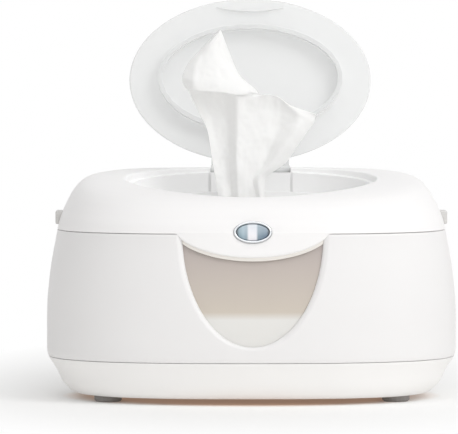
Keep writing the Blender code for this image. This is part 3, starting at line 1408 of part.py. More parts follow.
def build():
    clear_scene()
    finish = make_finishes()
    make_base(finish)
    make_shell(finish)
    make_window(finish)
    make_tub(finish)
    make_cover(finish)
    make_lid(finish)
    make_cover_inside(finish)
    inlet_back, inlet_z = make_inlet(finish)
    board_front = make_button(finish)
    make_leads(finish, inlet_back, inlet_z, board_front)
    make_tabs(finish)
    make_wipes(finish)
    carry("cover_axis", (0, HINGE_Y, HINGE_Z), COVER_PIECES)
    carry("lid_axis", (0, PIVOT_Y, PIVOT_Z), ("flip_lid", "lid_gasket"))
    middle = bpy.data.objects.new("plan_centre", None)
    bpy.context.collection.objects.link(middle)
    for item in list(bpy.data.objects):
        if item.parent is None and item is not middle:
            item.parent = middle
    middle.location = (0, PLAN_SHIFT, 0)


build()
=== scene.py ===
# %% [markdown]
# # A baby wipe warmer, dressed for its photograph
# The warmer is an oval tub of satin white plastic. A cover is hinged at its rear, and a frosted lid stands open in
# the middle of the cover, with one wipe pulled up through a soft slit. A chrome-ringed button and a beige window
# sit in front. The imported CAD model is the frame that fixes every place, so this script only gives the visible
# skins their fine form and finish. Lengths are metres, +X is to the right and the front faces -Y.

from math import cos, pi, radians, sin, sqrt

import bmesh
import bpy
import numpy as np
from mathutils import Matrix, Vector, noise


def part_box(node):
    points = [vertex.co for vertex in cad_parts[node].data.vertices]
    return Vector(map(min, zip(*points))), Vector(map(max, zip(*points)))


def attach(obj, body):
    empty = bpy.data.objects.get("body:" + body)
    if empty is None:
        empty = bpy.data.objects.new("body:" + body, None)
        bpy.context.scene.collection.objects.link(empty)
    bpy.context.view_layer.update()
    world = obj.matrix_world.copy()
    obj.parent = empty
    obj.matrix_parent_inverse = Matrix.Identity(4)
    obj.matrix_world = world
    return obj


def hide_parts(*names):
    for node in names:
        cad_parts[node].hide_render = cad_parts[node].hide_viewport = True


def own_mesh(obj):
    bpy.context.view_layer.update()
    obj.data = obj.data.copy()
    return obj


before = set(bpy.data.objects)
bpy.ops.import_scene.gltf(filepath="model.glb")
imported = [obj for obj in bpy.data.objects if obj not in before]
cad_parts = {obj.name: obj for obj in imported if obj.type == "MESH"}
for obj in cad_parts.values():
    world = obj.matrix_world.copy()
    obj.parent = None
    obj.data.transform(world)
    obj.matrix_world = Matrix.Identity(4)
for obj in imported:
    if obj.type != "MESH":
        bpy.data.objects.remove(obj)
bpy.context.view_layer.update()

# %% [markdown]
# ## Sizes shared by the skins
# The visible skins repeat the sizes of the solids they stand for, so that they meet the parts that stay. The outline
# is a superellipse, a rounded rectangle whose power says how square its corners are, and a table of height, width
# and depth shares swells it to its widest a third of the way up. PAST is how far a cutter reaches beyond what it
# cuts, BEYOND_Y lies clear of the body in front and behind, and edges that turn by less than SMOOTH_BELOW degrees
# are shaded smooth.

# %% Named sizes
MM = 0.001
FIT = 0.3 * MM
SHIFT_Y = -3.25 * MM
HALF_WIDTH = 135 * MM
HALF_DEPTH = 92 * MM
SHELL_TOP = 111 * MM
SEAM = 111.5 * MM
FOOT_REACH = 4 * MM
BASE_TOP = 28 * MM
PLAN_POWER = 2.7
WALL = 2.6 * MM
COVER_WALL = 2.5 * MM
BODY_TABLE = np.array((
    (.036, .867, .848), (.063, .896, .885), (.113, .930, .925), (.162, .948, .948), (.207, .970, .970),
    (.252, .993, .993), (.297, 1.0, 1.0), (.450, 1.0, 1.0), (.568, .998, .997), (.685, .990, .990),
    (.802, .978, .977), (.928, .959, .957), (1.0, .948, .950),
))
SHOULDER_INSET = 38 * MM
SHOULDER_TABLE = np.array((
    (0, 0), (.058, .25), (.118, .40), (.184, .55), (.276, .72), (.410, .87), (.553, .94), (.790, .985), (1, 1),
))
CREST_HEIGHT = 38.5 * MM
CREST = SEAM + CREST_HEIGHT
LID_HALF_WIDTH = 81.5 * MM
LID_HALF_LENGTH = 56 * MM
LID_CENTRE_Y = -10 * MM
LID_THICKNESS = 2.2 * MM
LID_SLOPE = radians(7.6)
LID_LEAN = radians(11)
RECESS_FLOOR = 122.2 * MM
PIVOT_Y = 52 * MM
PIVOT_BELOW_LID = 3.2 * MM
PIVOT_Z = CREST - PIVOT_BELOW_LID + 6 * MM * sin(LID_SLOPE)
EDGE = 0.4 * MM
PIN_BORE = 1.8 * MM
BOSS_RADIUS = 4.6 * MM
SCREW_PLACES = [(x * MM, y * MM) for x in (-58, 58) for y in (-66, 66)]
PAST = 10 * MM
BEYOND_Y = 110 * MM
AROUND = 400
SMOOTH_BELOW = 32
print("pivot of the lid at", round(PIVOT_Y, 4), round(PIVOT_Z, 4))

# %% [markdown]
# ## Curves and rings
# A table of a few measured rows needs a curve through it that neither overshoots nor shows its corners, so each row
# gets a slope that keeps the rise monotone. Rings are spaced evenly along their length, because even quads shade
# cleanly and give a Boolean cut tidy edges to work with.

# %% Smooth curve through a table
def curve_through(table_x, table_y):
    x = np.asarray(table_x, float)
    y = np.asarray(table_y, float)
    steps = np.diff(x)
    rise = np.diff(y) / steps
    slopes = np.zeros(len(x))
    for i in range(1, len(x) - 1):
        if rise[i - 1] * rise[i] > 0:
            a = 2 * steps[i] + steps[i - 1]
            b = steps[i] + 2 * steps[i - 1]
            slopes[i] = (a + b) / (a / rise[i - 1] + b / rise[i])
    slopes[0], slopes[-1] = rise[0], rise[-1]

    def value(at):
        at = np.clip(at, x[0], x[-1])
        i = np.clip(np.searchsorted(x, at, "right") - 1, 0, len(steps) - 1)
        t = (at - x[i]) / steps[i]
        u = 1 - t
        return (u * u * (1 + 2 * t) * y[i] + t * t * (3 - 2 * t) * y[i + 1]
                + steps[i] * (t * u * u * slopes[i] - t * t * u * slopes[i + 1]))
    return value


width_share = curve_through(BODY_TABLE[:, 0], BODY_TABLE[:, 1])
depth_share = curve_through(BODY_TABLE[:, 0], BODY_TABLE[:, 2])
shoulder_rise = curve_through(SHOULDER_TABLE[:, 0], SHOULDER_TABLE[:, 1])


def half_sizes(z):
    share = np.minimum(np.asarray(z, float), SHELL_TOP) / SHELL_TOP
    return HALF_WIDTH * width_share(share), HALF_DEPTH * depth_share(share)


print("half width at the seam", round(float(half_sizes(SHELL_TOP)[0]) * 1000, 2), "mm")

# %% Evenly spaced rings
def signed_power(value, power):
    return np.sign(value) * np.abs(value) ** power


def even_turns(half_x, half_y, power, count=AROUND):
    """Angles whose points lie evenly along a superellipse, the same way in each quarter."""
    dense = pi / 2 * (1 - np.cos(np.linspace(0, pi, 8001))) / 2
    x = half_x * np.cos(dense).clip(0) ** (2 / power)
    y = half_y * np.sin(dense).clip(0) ** (2 / power)
    run = np.concatenate(([0], np.cumsum(np.hypot(np.diff(x), np.diff(y)))))
    turns = []
    for k in range(count):
        quarter, share = divmod(4 * k / count, 1)
        if quarter % 2:
            turns.append((quarter + 1) * pi / 2 - np.interp((1 - share) * run[-1], run, dense))
        else:
            turns.append(quarter * pi / 2 + np.interp(share * run[-1], run, dense))
    return np.array(turns)


def ring(turns, half_x, half_y, z, centre_y=0.0, power=2.0):
    x = half_x * signed_power(np.cos(turns), 2 / power)
    y = centre_y + half_y * signed_power(np.sin(turns), 2 / power)
    height = z(x, y) if callable(z) else np.broadcast_to(z, x.shape)
    return np.stack((x, y, height), axis=1)


BODY_TURNS = even_turns(HALF_WIDTH, HALF_DEPTH, PLAN_POWER)
RIM_TURNS = even_turns(LID_HALF_WIDTH, LID_HALF_LENGTH, 2)


def body_ring(z, inset=0.0):
    half_x, half_y = half_sizes(z)
    return ring(BODY_TURNS, half_x - inset, half_y - inset, z, 0.0, PLAN_POWER)


def body_rings(*rows):
    """Rings of the housing's outline at several heights, each with its own inset."""
    return [body_ring(z, inset) for z, inset in rows]


print("spacing of the housing's ring",
      round(float(np.linalg.norm(np.diff(body_ring(SHELL_TOP)[:2], axis=0))) * 1000, 2), "mm")

# %% [markdown]
# ## From rings to a closed skin
# A thin moulded wall is one closed surface that runs up the outside, over the edge and back down the inside. It
# takes one operator to draw: a grid is laid on the rings, and merging doubles sews its sides together and closes
# poles. Openings are cut afterwards with exact Booleans, and their result is kept as the mesh, so that the object
# itself stays untransformed at the origin. Tools that don't touch one another are joined and cut together.

# %% Skin over rings
def finish_mesh(name, bm, smooth=SMOOTH_BELOW):
    bmesh.ops.remove_doubles(bm, verts=bm.verts, dist=1e-6)
    bmesh.ops.recalc_face_normals(bm, faces=bm.faces)
    mesh = bpy.data.meshes.new(name)
    bm.to_mesh(mesh)
    bm.free()
    mesh.shade_smooth()
    mesh.set_sharp_from_angle(angle=radians(smooth))
    made = bpy.data.objects.new(name, mesh)
    bpy.context.collection.objects.link(made)
    return made


def skin(name, rings, closed=False, poles=False):
    """Closed skin over rings: joined end to end, or ending in a pole at both ends."""
    rows = [np.asarray(r, float) for r in rings]
    if closed:
        rows.append(rows[0])
    if poles:
        rows = [np.broadcast_to(rows[0].mean(0), rows[0].shape), *rows,
                np.broadcast_to(rows[-1].mean(0), rows[-1].shape)]
    bm = bmesh.new()
    bmesh.ops.create_grid(bm, x_segments=len(rows[0]), y_segments=len(rows) - 1, size=1)
    bm.verts.ensure_lookup_table()
    places = np.concatenate([np.vstack((row, row[:1])) for row in rows])
    for vert, place in zip(bm.verts, places):
        vert.co = place
    return finish_mesh(name, bm)

# %% Booleans
def joined(pieces):
    """One mesh out of several that don't touch, so that one Boolean does for all of them."""
    bm = bmesh.new()
    for piece in pieces:
        bm.from_mesh(piece.data)
        bpy.data.objects.remove(piece)
    return finish_mesh("tools", bm)


def combine(target, tools, operation):
    """Runs the Boolean and keeps its result as the target's own mesh."""
    tool = joined(tools) if len(tools) > 1 else tools[0]
    change = target.modifiers.new("change", "BOOLEAN")
    change.operation = operation
    change.solver = "EXACT"
    change.object = tool
    graph = bpy.context.evaluated_depsgraph_get()
    mesh = bpy.data.meshes.new_from_object(target.evaluated_get(graph))
    target.modifiers.clear()
    target.data = mesh
    bpy.data.objects.remove(tool)
    mesh.shade_smooth()
    mesh.set_sharp_from_angle(angle=radians(SMOOTH_BELOW))


def cut(target, *tools):
    combine(target, tools, "DIFFERENCE")


def add(target, *tools):
    combine(target, tools, "UNION")

# %% Finish, place and body
def paint(piece, finish):
    piece.data.materials.clear()
    piece.data.materials.append(finish)


def settle(piece, finish, body, *nodes, slot):
    """Paints the piece, moves its mesh to its place in the frame and ties it to the body it moves with."""
    paint(piece, finish)
    piece.data.transform(Matrix.Translation((0, SHIFT_Y, 0)))
    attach(piece, body)
    if nodes:
        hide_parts(*nodes)
    print(piece.name, len(piece.data.polygons), "faces on", body)

# %% Bars and blocks that cut or add
def bar(name, radius, start, end, count=48):
    start, end = Vector(start), Vector(end)
    bm = bmesh.new()
    bmesh.ops.create_cone(bm, cap_ends=True, segments=count, radius1=radius, radius2=radius,
                          depth=(end - start).length)
    turn = (end - start).to_track_quat("Z", "Y").to_matrix().to_4x4()
    bmesh.ops.transform(bm, matrix=Matrix.Translation((start + end) / 2) @ turn, verts=bm.verts)
    return finish_mesh(name, bm)


def crossbar(name, radius, low_x, high_x, y, z):
    return bar(name, radius, (low_x, y, z), (high_x, y, z))


def uprights(name, radius, places, low_z, high_z, count=48):
    """One upright bar at each of several places of the plan."""
    return [bar(name, radius, (x, y, low_z), (x, y, high_z), count) for x, y in places]


def block(name, low, high, edge=0.0):
    low, high = Vector(low), Vector(high)
    bm = bmesh.new()
    bmesh.ops.create_cube(bm, size=1)
    bmesh.ops.scale(bm, vec=high - low, verts=bm.verts)
    bmesh.ops.translate(bm, vec=(low + high) / 2, verts=bm.verts)
    if edge:
        bmesh.ops.bevel(bm, geom=bm.edges, offset=edge, segments=4, profile=0.5, affect="EDGES", material=-1)
    return finish_mesh(name, bm)

# %% [markdown]
# ## Colours and finishes
# Colours are written as the sRGB hex values that one reads off a picture, and one function turns them linear. Every
# finish is a Principled surface with a little variation laid over it, because even a good moulding isn't the same
# all over: the tool's fine texture breaks up the highlight, and a slow cloudiness comes from how the resin flowed.
# Pattern scales come from a size in millimetres: a noise of one cell for each of those lengths.

# %% Node helpers
def linear(hexed):
    parts = [int(hexed[i:i + 2], 16) / 255 for i in (1, 3, 5)]
    return (*[p / 12.92 if p <= 0.04045 else ((p + 0.055) / 1.055) ** 2.4 for p in parts], 1.0)


def per_metre(size_mm):
    """Scale of a pattern whose one cell is that many millimetres wide."""
    return 1000.0 / size_mm


def add_node(tree, kind, inputs=None, **settings):
    """Adds a node, sets its settings, and fills its inputs with values or with other nodes' outputs."""
    made = tree.nodes.new(kind)
    for name, value in settings.items():
        setattr(made, name, value)
    for name, value in (inputs or {}).items():
        if isinstance(value, bpy.types.NodeSocket):
            tree.links.new(value, made.inputs[name])
        else:
            made.inputs[name].default_value = value
    return made

# %% Values and colours out of nodes
def mapped(tree, value, start, end, low=0.0, high=1.0):
    """Spreads a value from start to end over low to high, and holds it beyond them."""
    return add_node(tree, "ShaderNodeMapRange", {"Value": value, "From Min": start, "From Max": end,
                                                 "To Min": low, "To Max": high}).outputs["Result"]


def blend(tree, share, first, second):
    """Colour that goes from the first to the second as the share goes from 0 to 1."""
    return add_node(tree, "ShaderNodeMix", {"Factor": share, 6: first, 7: second}, data_type="RGBA").outputs[2]


def maths(tree, operation, *values):
    return add_node(tree, "ShaderNodeMath", dict(enumerate(values)), operation=operation).outputs[0]


def vector_maths(tree, operation, *values):
    made = add_node(tree, "ShaderNodeVectorMath", dict(enumerate(values)), operation=operation)
    return made.outputs["Value" if operation == "LENGTH" else "Vector"]


def own_place(tree):
    """The point's place in the object's own coordinates, whole and split into x, y and z."""
    place = add_node(tree, "ShaderNodeTexCoord").outputs["Object"]
    return place, add_node(tree, "ShaderNodeSeparateXYZ", {0: place}).outputs


def recolour(finish, colour):
    finish.node_tree.links.new(colour, finish.node_tree.nodes["Principled BSDF"].inputs["Base Color"])

# %% One finish
CLOUD_MM = 60


def surface(name, hexed, roughness, grain_mm=0.8, bump_mm=0.01, cloud=0.02, rough_spread=0.04, **principled):
    """Principled surface with a fine grain in its bump and gloss, and a slow cloudiness in its colour."""
    made = bpy.data.materials.new(name)
    made.use_nodes = True
    tree = made.node_tree
    shader = tree.nodes["Principled BSDF"]
    place = add_node(tree, "ShaderNodeTexCoord").outputs["Object"]
    grain = add_node(tree, "ShaderNodeTexNoise",
                     {"Vector": place, "Scale": per_metre(grain_mm), "Detail": 3.0,
                      "Roughness": 0.55}).outputs["Fac"]
    slow = add_node(tree, "ShaderNodeTexNoise",
                    {"Vector": place, "Scale": per_metre(CLOUD_MM), "Detail": 2.0}).outputs["Fac"]
    base = linear(hexed)
    darker = (*[c * (1 - cloud) for c in base[:3]], 1.0)
    lighter = (*[min(c * (1 + cloud), 1.0) for c in base[:3]], 1.0)
    gloss = mapped(tree, grain, 0.0, 1.0, roughness - rough_spread, roughness + rough_spread)
    bump = add_node(tree, "ShaderNodeBump", {"Height": grain, "Strength": 0.6, "Distance": bump_mm * MM})
    recolour(made, blend(tree, slow, darker, lighter))
    tree.links.new(gloss, shader.inputs["Roughness"])
    tree.links.new(bump.outputs["Normal"], shader.inputs["Normal"])
    for socket, value in principled.items():
        shader.inputs[socket.replace("_", " ")].default_value = value
    return made

# %% The finishes
# Injection-moulded ABS, satin: a soft broad highlight and almost no colour
white_shell = surface("satin_moulded_abs", "#EFEEEE", 0.42, grain_mm=1.1, bump_mm=0.006)
# The base is a shade whiter than the shell: painted light that stands in for the light the white floor bounces onto
# it
base_white_painted_bounce = surface("satin_abs_base_painted_bounce", "#F6F5F4", 0.46, grain_mm=1.1, bump_mm=0.008)
# Frosted polypropylene: the spark-eroded tool scatters light, so it is cloudy rather than clear
frosted = surface("frosted_polypropylene", "#F5F6F6", 0.50, grain_mm=0.9, bump_mm=0.015, Alpha=0.62)
# The lid's gasket is the same milky white, and soft
milky = surface("moulded_elastomer_milky", "#F3F4F4", 0.60, grain_mm=0.7, bump_mm=0.015, Alpha=0.50)
# Cream polypropylene of the tub
cream = surface("moulded_polypropylene_cream", "#DDD5C9", 0.50, grain_mm=1.0)
# The side tabs are a light grey, darker than the white shell
tab_white = surface("satin_moulded_abs_tab", "#D6D5D3", 0.45, bump_mm=0.006)
# A pale cream for the strip under the tongue: a painted highlight where the tongue's rounded lower edge catches
# light from the floor
pale_cream_painted_highlight = surface("pale_cream_painted_edge_highlight", "#EAE6E0", 0.55)
# Tinted polycarbonate of the window: polished outside, lightly frosted inside, so the wipes show as soft bands. Its
# colour is replaced below by a painted gradient, pale where the wipes show and painted shade above them
window_tint_painted_shade = surface("tinted_polycarbonate_painted_shade", "#DDD0C4", 0.16, grain_mm=2.0, bump_mm=0.002, Alpha=0.76)
# Chrome on ABS: a mirror whose plating follows the moulding's slight waviness
chrome = surface("chromed_abs", "#D9DCDF", 0.07, grain_mm=3.0, bump_mm=0.004, cloud=0.01,
                 rough_spread=0.02, Metallic=1.0)
# Clear acrylic over a pale blue-grey reflector. The reflector isn't modelled: the dome's colour below is painted
# reflection and painted shade
button_painted_reflections = surface("acrylic_button_painted_reflections", "#9DB2C0", 0.10, grain_mm=2.5, bump_mm=0.004, cloud=0.06)
# Grey rubber of the feet and the window's seal
rubber = surface("moulded_rubber_grey", "#8F8B88", 0.75, grain_mm=0.6, bump_mm=0.03, cloud=0.06)
# Soft thermoplastic elastomer of the slit and gaskets
soft_white = surface("moulded_elastomer_white", "#E6E5E3", 0.60, grain_mm=0.7, bump_mm=0.02)
# Zinc-plated steel of pins and screws
zinc = surface("zinc_plated_steel", "#C4C6C8", 0.32, grain_mm=0.5, cloud=0.05, Metallic=1.0)
# Rolled aluminium of the heater's plate
aluminium = surface("rolled_aluminium", "#CDCFD1", 0.30, grain_mm=0.4, cloud=0.03, Metallic=1.0)
# Amber polyimide film of the heater
film = surface("polyimide_film", "#B0651F", 0.35, grain_mm=1.5, cloud=0.05)
# Glass-epoxy board under green solder resist
board = surface("solder_resist_laminate", "#1E6B3C", 0.40, grain_mm=0.5, bump_mm=0.02, cloud=0.08)
# Black nylon of switch, thermostat and inlet
nylon = surface("moulded_nylon_black", "#1F1F20", 0.45, grain_mm=0.6, bump_mm=0.02)
# Cast epoxy of the two lamps
epoxy = surface("cast_epoxy_lamp", "#F4EBD8", 0.12, grain_mm=2.0, bump_mm=0.002)
# PVC jacket of the inner leads
pvc = surface("extruded_pvc_black", "#262627", 0.42)
print(len(bpy.data.materials), "materials so far")

# %% [markdown]
# ## Housing shell
# The shell is a belt of plastic open above and below, with a ledge inside that carries the tub. Its wall goes up the
# outside, round both edges and back inside, so it is one closed skin. The window is a half ellipse cut through the
# front with a rounded edge: a cutter whose outline narrows on its way in gives that edge its curve.

# %% Window cutter
WINDOW_HALF, WINDOW_DROP = 49.3 * MM, 75 * MM
INNER_HALF, INNER_DROP = 45.3 * MM, 72.5 * MM
ROUND_START = 28
ROUND_STEPS = 7
WINDOW_REACH = 22 * MM


def window_outline(half_width, drop):
    turns = np.linspace(0, pi, 96)
    return np.stack((half_width * np.cos(turns), SHELL_TOP - drop * np.sin(turns)), axis=1)


def front_y(x, z, inset=0.0):
    """Y of the housing's front surface, moved inwards by the inset."""
    half_x, half_y = half_sizes(z)
    share = np.clip(np.abs(x) / (half_x - inset), 0, 1)
    return -(half_y - inset) * (1 - share ** PLAN_POWER) ** (1 / PLAN_POWER)


def window_cutter(name, outer, inner):
    """Cutter that follows the front's curve and rounds the edge from the outer outline to the inner one."""
    def lifted(line):
        return np.vstack((line[0] + (0, PAST), line, line[-1] + (0, PAST)))

    def at(line, y):
        return np.stack((line[:, 0], np.broadcast_to(y, len(line)), line[:, 1]), axis=1)

    outer, inner = lifted(outer), lifted(inner)
    rings = [at(outer, -HALF_DEPTH - PAST)]
    for step in range(ROUND_STEPS + 1):
        turn = radians(ROUND_START + (90 - ROUND_START) * step / ROUND_STEPS)
        weight = (1 - sin(turn)) / (1 - sin(radians(ROUND_START)))
        line = outer * weight + inner * (1 - weight)
        depth = WALL * (1 - cos(turn)) - EDGE * weight
        rings.append(at(line, front_y(line[:, 0], line[:, 1], depth)))
    rings.append(at(inner, -HALF_DEPTH + WINDOW_REACH))
    return skin(name, rings, poles=True)

# %% Housing shell
LEDGE_TOP = 107.1 * MM
LEDGE_UNDER = LEDGE_TOP - 2.5 * MM
LEDGE_REACH = 9 * MM
bottom = BASE_TOP + FIT
rings = body_rings((bottom, EDGE), (bottom + EDGE * 0.3, EDGE * 0.3))
rings += [body_ring(z) for z in np.linspace(bottom + EDGE, SHELL_TOP - EDGE, 46)]
rings += body_rings((SHELL_TOP - EDGE * 0.3, EDGE * 0.3), (SHELL_TOP, EDGE), (SHELL_TOP, WALL - EDGE),
                    (SHELL_TOP - EDGE, WALL), (LEDGE_TOP, WALL), (LEDGE_TOP, WALL + LEDGE_REACH),
                    (LEDGE_UNDER, WALL + LEDGE_REACH), (LEDGE_UNDER, WALL))
rings += [body_ring(z, WALL) for z in np.linspace(LEDGE_TOP - 4 * MM, bottom, 24)]
shell = skin("housing_shell", rings, closed=True)
cut(shell, window_cutter("window_cutter", window_outline(WINDOW_HALF, WINDOW_DROP),
                         window_outline(INNER_HALF, INNER_DROP)))
print("window", round(2000 * WINDOW_HALF, 1), "mm wide")

# %% [markdown]
# ## Hinge ears and screw posts of the shell
# At the rear the cover turns on two steel pins. Each pin runs through two ears of the shell, round knuckles on short
# arms. The posts inside take the screws that come up from the base. They are added as bars and blocks, and the pin's
# bore is cut last so that it passes through both ears in one line.

# %% Hinge ears and posts
HINGE_X, HINGE_Y, HINGE_Z = 45 * MM, 94.5 * MM, SEAM - 0.4 * MM
HINGE_GAP = 0.4 * MM
KNUCKLE_RADIUS = 4 * MM
KNUCKLE_HALF = 6 * MM
EAR_WIDTH = 7 * MM


def rear_y(x, z, inset):
    return -front_y(x, z, inset)


ears, arms = [], []
for side in (-1, 1):
    for place in (-1, 1):
        inner = side * HINGE_X + place * (KNUCKLE_HALF + HINGE_GAP)
        low_x, high_x = sorted((inner, inner + place * EAR_WIDTH))
        ears.append(crossbar("ear", KNUCKLE_RADIUS, low_x, high_x, HINGE_Y, HINGE_Z))
        wall_y = rear_y(max(abs(low_x), abs(high_x)), SHELL_TOP, 1.6 * WALL)
        arms.append(block("arm", (low_x + FIT, wall_y, HINGE_Z - 5 * MM),
                          (high_x - FIT, HINGE_Y, HINGE_Z - 0.9 * MM)))
ribs = [block("rib", (x - 1 * MM, min(y, y * 1.32), BASE_TOP + 5.1 * MM),
              (x + 1 * MM, max(y, y * 1.32), BASE_TOP + 14 * MM)) for x, y in SCREW_PLACES]
posts = uprights("post", BOSS_RADIUS, SCREW_PLACES, BASE_TOP + FIT, BASE_TOP + 14.3 * MM)
for tools in (ears, arms, ribs, posts):
    add(shell, *tools)
bores = [crossbar("bore", PIN_BORE, side * HINGE_X - 19 * MM, side * HINGE_X + 19 * MM, HINGE_Y, HINGE_Z)
         for side in (-1, 1)]
bores += uprights("pilot", PIN_BORE, SCREW_PLACES, BASE_TOP - PAST, BASE_TOP + 11.8 * MM)
cut(shell, *bores)
settle(shell, white_shell, "housing", "body_shell", slot="white_abs")

# %% [markdown]
# ## Base pan
# The base closes the housing from below. Its outline draws in towards the table, it stands on four rubber feet sunk
# in shallow seats, and four screws hold it to the shell from wells in its underside. A lip inside its rim centres
# the shell.

# %% Base pan
FLOOR_TOP = FOOT_REACH + 2.6 * MM
LIP_OUT = WALL + FIT
LIP_IN = LIP_OUT + 1.6 * MM
LIP_RISE = 4.5 * MM
FOOT_PLACES = [(x * MM, y * MM) for x in (-94, 94) for y in (-43, 43)]
rings = body_rings((FOOT_REACH, 1.6 * MM), (FOOT_REACH + 0.25 * MM, 0.7 * MM), (FOOT_REACH + 0.8 * MM, 0.15 * MM))
rings += [body_ring(z) for z in np.linspace(FOOT_REACH + 1.6 * MM, BASE_TOP - EDGE, 22)]
rings += body_rings((BASE_TOP - EDGE * 0.3, EDGE * 0.3), (BASE_TOP, EDGE), (BASE_TOP, LIP_OUT),
                    (BASE_TOP + LIP_RISE, LIP_OUT), (BASE_TOP + LIP_RISE, LIP_IN), (BASE_TOP - LIP_RISE, LIP_IN))
rings += [body_ring(z, WALL) for z in np.linspace(13.6 * MM, FLOOR_TOP + 0.6 * MM, 6)]
rings += body_rings((FLOOR_TOP, WALL + 1 * MM))
pan = skin("base_shell", rings, poles=True)
add(pan, *uprights("boss", BOSS_RADIUS, SCREW_PLACES, FOOT_REACH + 1.3 * MM, BASE_TOP))
seats = uprights("seat", 9.3 * MM, FOOT_PLACES, -PAST, FOOT_REACH + 1.2 * MM, 72)
wells = uprights("well", 3.2 * MM, SCREW_PLACES, -PAST, BASE_TOP - 2.5 * MM)
cut(pan, *seats, *wells)
cut(pan, *uprights("hole", PIN_BORE, SCREW_PLACES, 15 * MM, 32.5 * MM))
settle(pan, base_white_painted_bounce, "housing", "base_pan", slot="white_base_abs")

# %% [markdown]
# ## Cover
# The cover is the warmer's most shaped part. Its wall rises from the seam, rolls over a broad shoulder and reaches a
# crown that falls towards the front. An oval recess sinks into the crown, with a ledge that the shut lid rests on.
# In front a tongue hangs over the window. The height over any point of the plan is found first, and then every ring
# is a step on the way from the seam to the recess's rim, so that outside, recess and inside are one skin.

# %% Height of the cover over a point of its plan
CROWN_FALL, CROWN_POWER = 13.6 * MM, 1.465
CROWN_START, CROWN_LENGTH = 50 * MM, 116 * MM


def crown(y):
    return CREST_HEIGHT - CROWN_FALL * (np.maximum(CROWN_START - y, 0) / CROWN_LENGTH) ** CROWN_POWER


def cover_height(x, y, inset=0.0):
    half_x, half_y = half_sizes(SHELL_TOP)
    low, high = np.zeros(len(x)), np.full(len(x), 1.0)
    for _ in range(34):
        middle = (low + high) / 2
        reach_x = half_x - inset - SHOULDER_INSET * middle
        reach_y = half_y - inset - SHOULDER_INSET * middle
        inside = (np.abs(x) / reach_x) ** PLAN_POWER + (np.abs(y) / reach_y) ** PLAN_POWER < 1
        low = np.where(inside, middle, low)
        high = np.where(inside, high, middle)
    return SEAM + (crown(y) - inset) * shoulder_rise(low)


def lid_plane(y):
    return PIVOT_Z + (PIVOT_BELOW_LID + (y - PIVOT_Y) * sin(LID_SLOPE)) / cos(LID_SLOPE)


def ledge_height(x, y):
    return lid_plane(y) - (LID_THICKNESS + FIT) / cos(LID_SLOPE)

# %% Tongue and lower edge
TONGUE_HALF = 48.8 * MM
TONGUE_DROP = 15.5 * MM
COVER_EDGE = 0.5 * MM


def tongue_drop(x):
    return TONGUE_DROP * np.clip(1 - (x / TONGUE_HALF) ** 2, 0, 1) ** 0.65


def edge_ring(drop, up, inset):
    """Ring near the cover's lower edge: as high above the edge, or the tongue's edge, as asked for."""
    z = SEAM - 0.2 * MM - drop + up
    half_x, half_y = half_sizes(z)
    x = (half_x - inset) * signed_power(np.cos(BODY_TURNS), 2 / PLAN_POWER)
    y = (half_y - inset) * signed_power(np.sin(BODY_TURNS), 2 / PLAN_POWER)
    return np.stack((x, y, z), axis=1)


def side_ring(share, inset):
    """Ring between the seam and the tongue's edge: the share says how far it follows the tongue."""
    return edge_ring(drop * share, COVER_EDGE * (1 - share) + lip * share, inset)


outline = body_ring(SHELL_TOP)[:, :2]
drop = np.where(outline[:, 1] < 0, tongue_drop(outline[:, 0]), 0.0)
lip = COVER_EDGE + 1.1 * MM * np.clip(drop / (4 * MM), 0, 1)
lower = [edge_ring(drop, lip * (1 - cos(turn)), lip * (1 - sin(turn))) for turn in np.linspace(0, pi / 2, 6)]
lower += [side_ring(share, 0.0) for share in np.linspace(1, 0, 10)[1:]]
print("tongue hangs", round(float(drop.max()) * 1000, 1), "mm")

# %% Outside and recess
RIM_X = LID_HALF_WIDTH + 0.8 * MM
RIM_Y = LID_HALF_LENGTH + 0.8 * MM
ROUND = 1.3 * MM
STEP = 2.8 * MM
FLOOR_ROUND = 2 * MM
CROWD = 1.55


def rim_ring(grow, z):
    return ring(RIM_TURNS, RIM_X + grow, RIM_Y + grow, z, LID_CENTRE_Y)


rim = rim_ring(ROUND, 0.0)[:, :2]
outside = []
# CROWD gathers the rings near the seam, where the shoulder turns fastest
for share in (np.arange(1, 49) / 48) ** CROWD:
    plan = outline * (1 - share) + rim * share
    z = cover_height(plan[:, 0], plan[:, 1])
    z = np.maximum(z, SEAM + COVER_EDGE + 0.02 * MM)
    outside.append(np.column_stack((plan, z)))
rim_z = outside[-1][:, 2]
for turn in np.linspace(0, pi / 2, 8)[1:]:
    outside.append(rim_ring(ROUND * (1 - sin(turn)), rim_z - ROUND * (1 - cos(turn))))
recess = [rim_ring(0.0, lambda x, y: ledge_height(x, y) + 0.3 * MM), rim_ring(-0.3 * MM, ledge_height),
          rim_ring(0.4 * MM - STEP, ledge_height),
          rim_ring(-STEP, lambda x, y: ledge_height(x, y) - 0.4 * MM)]
for turn in np.linspace(0, pi / 2, 5):
    recess.append(rim_ring(-STEP - FLOOR_ROUND * (1 - cos(turn)), RECESS_FLOOR + FLOOR_ROUND * (1 - sin(turn))))
for share in (0.25, 0.5, 0.75, 1.0):
    recess.append(rim_ring(-STEP - FLOOR_ROUND - 12 * MM * share, RECESS_FLOOR))

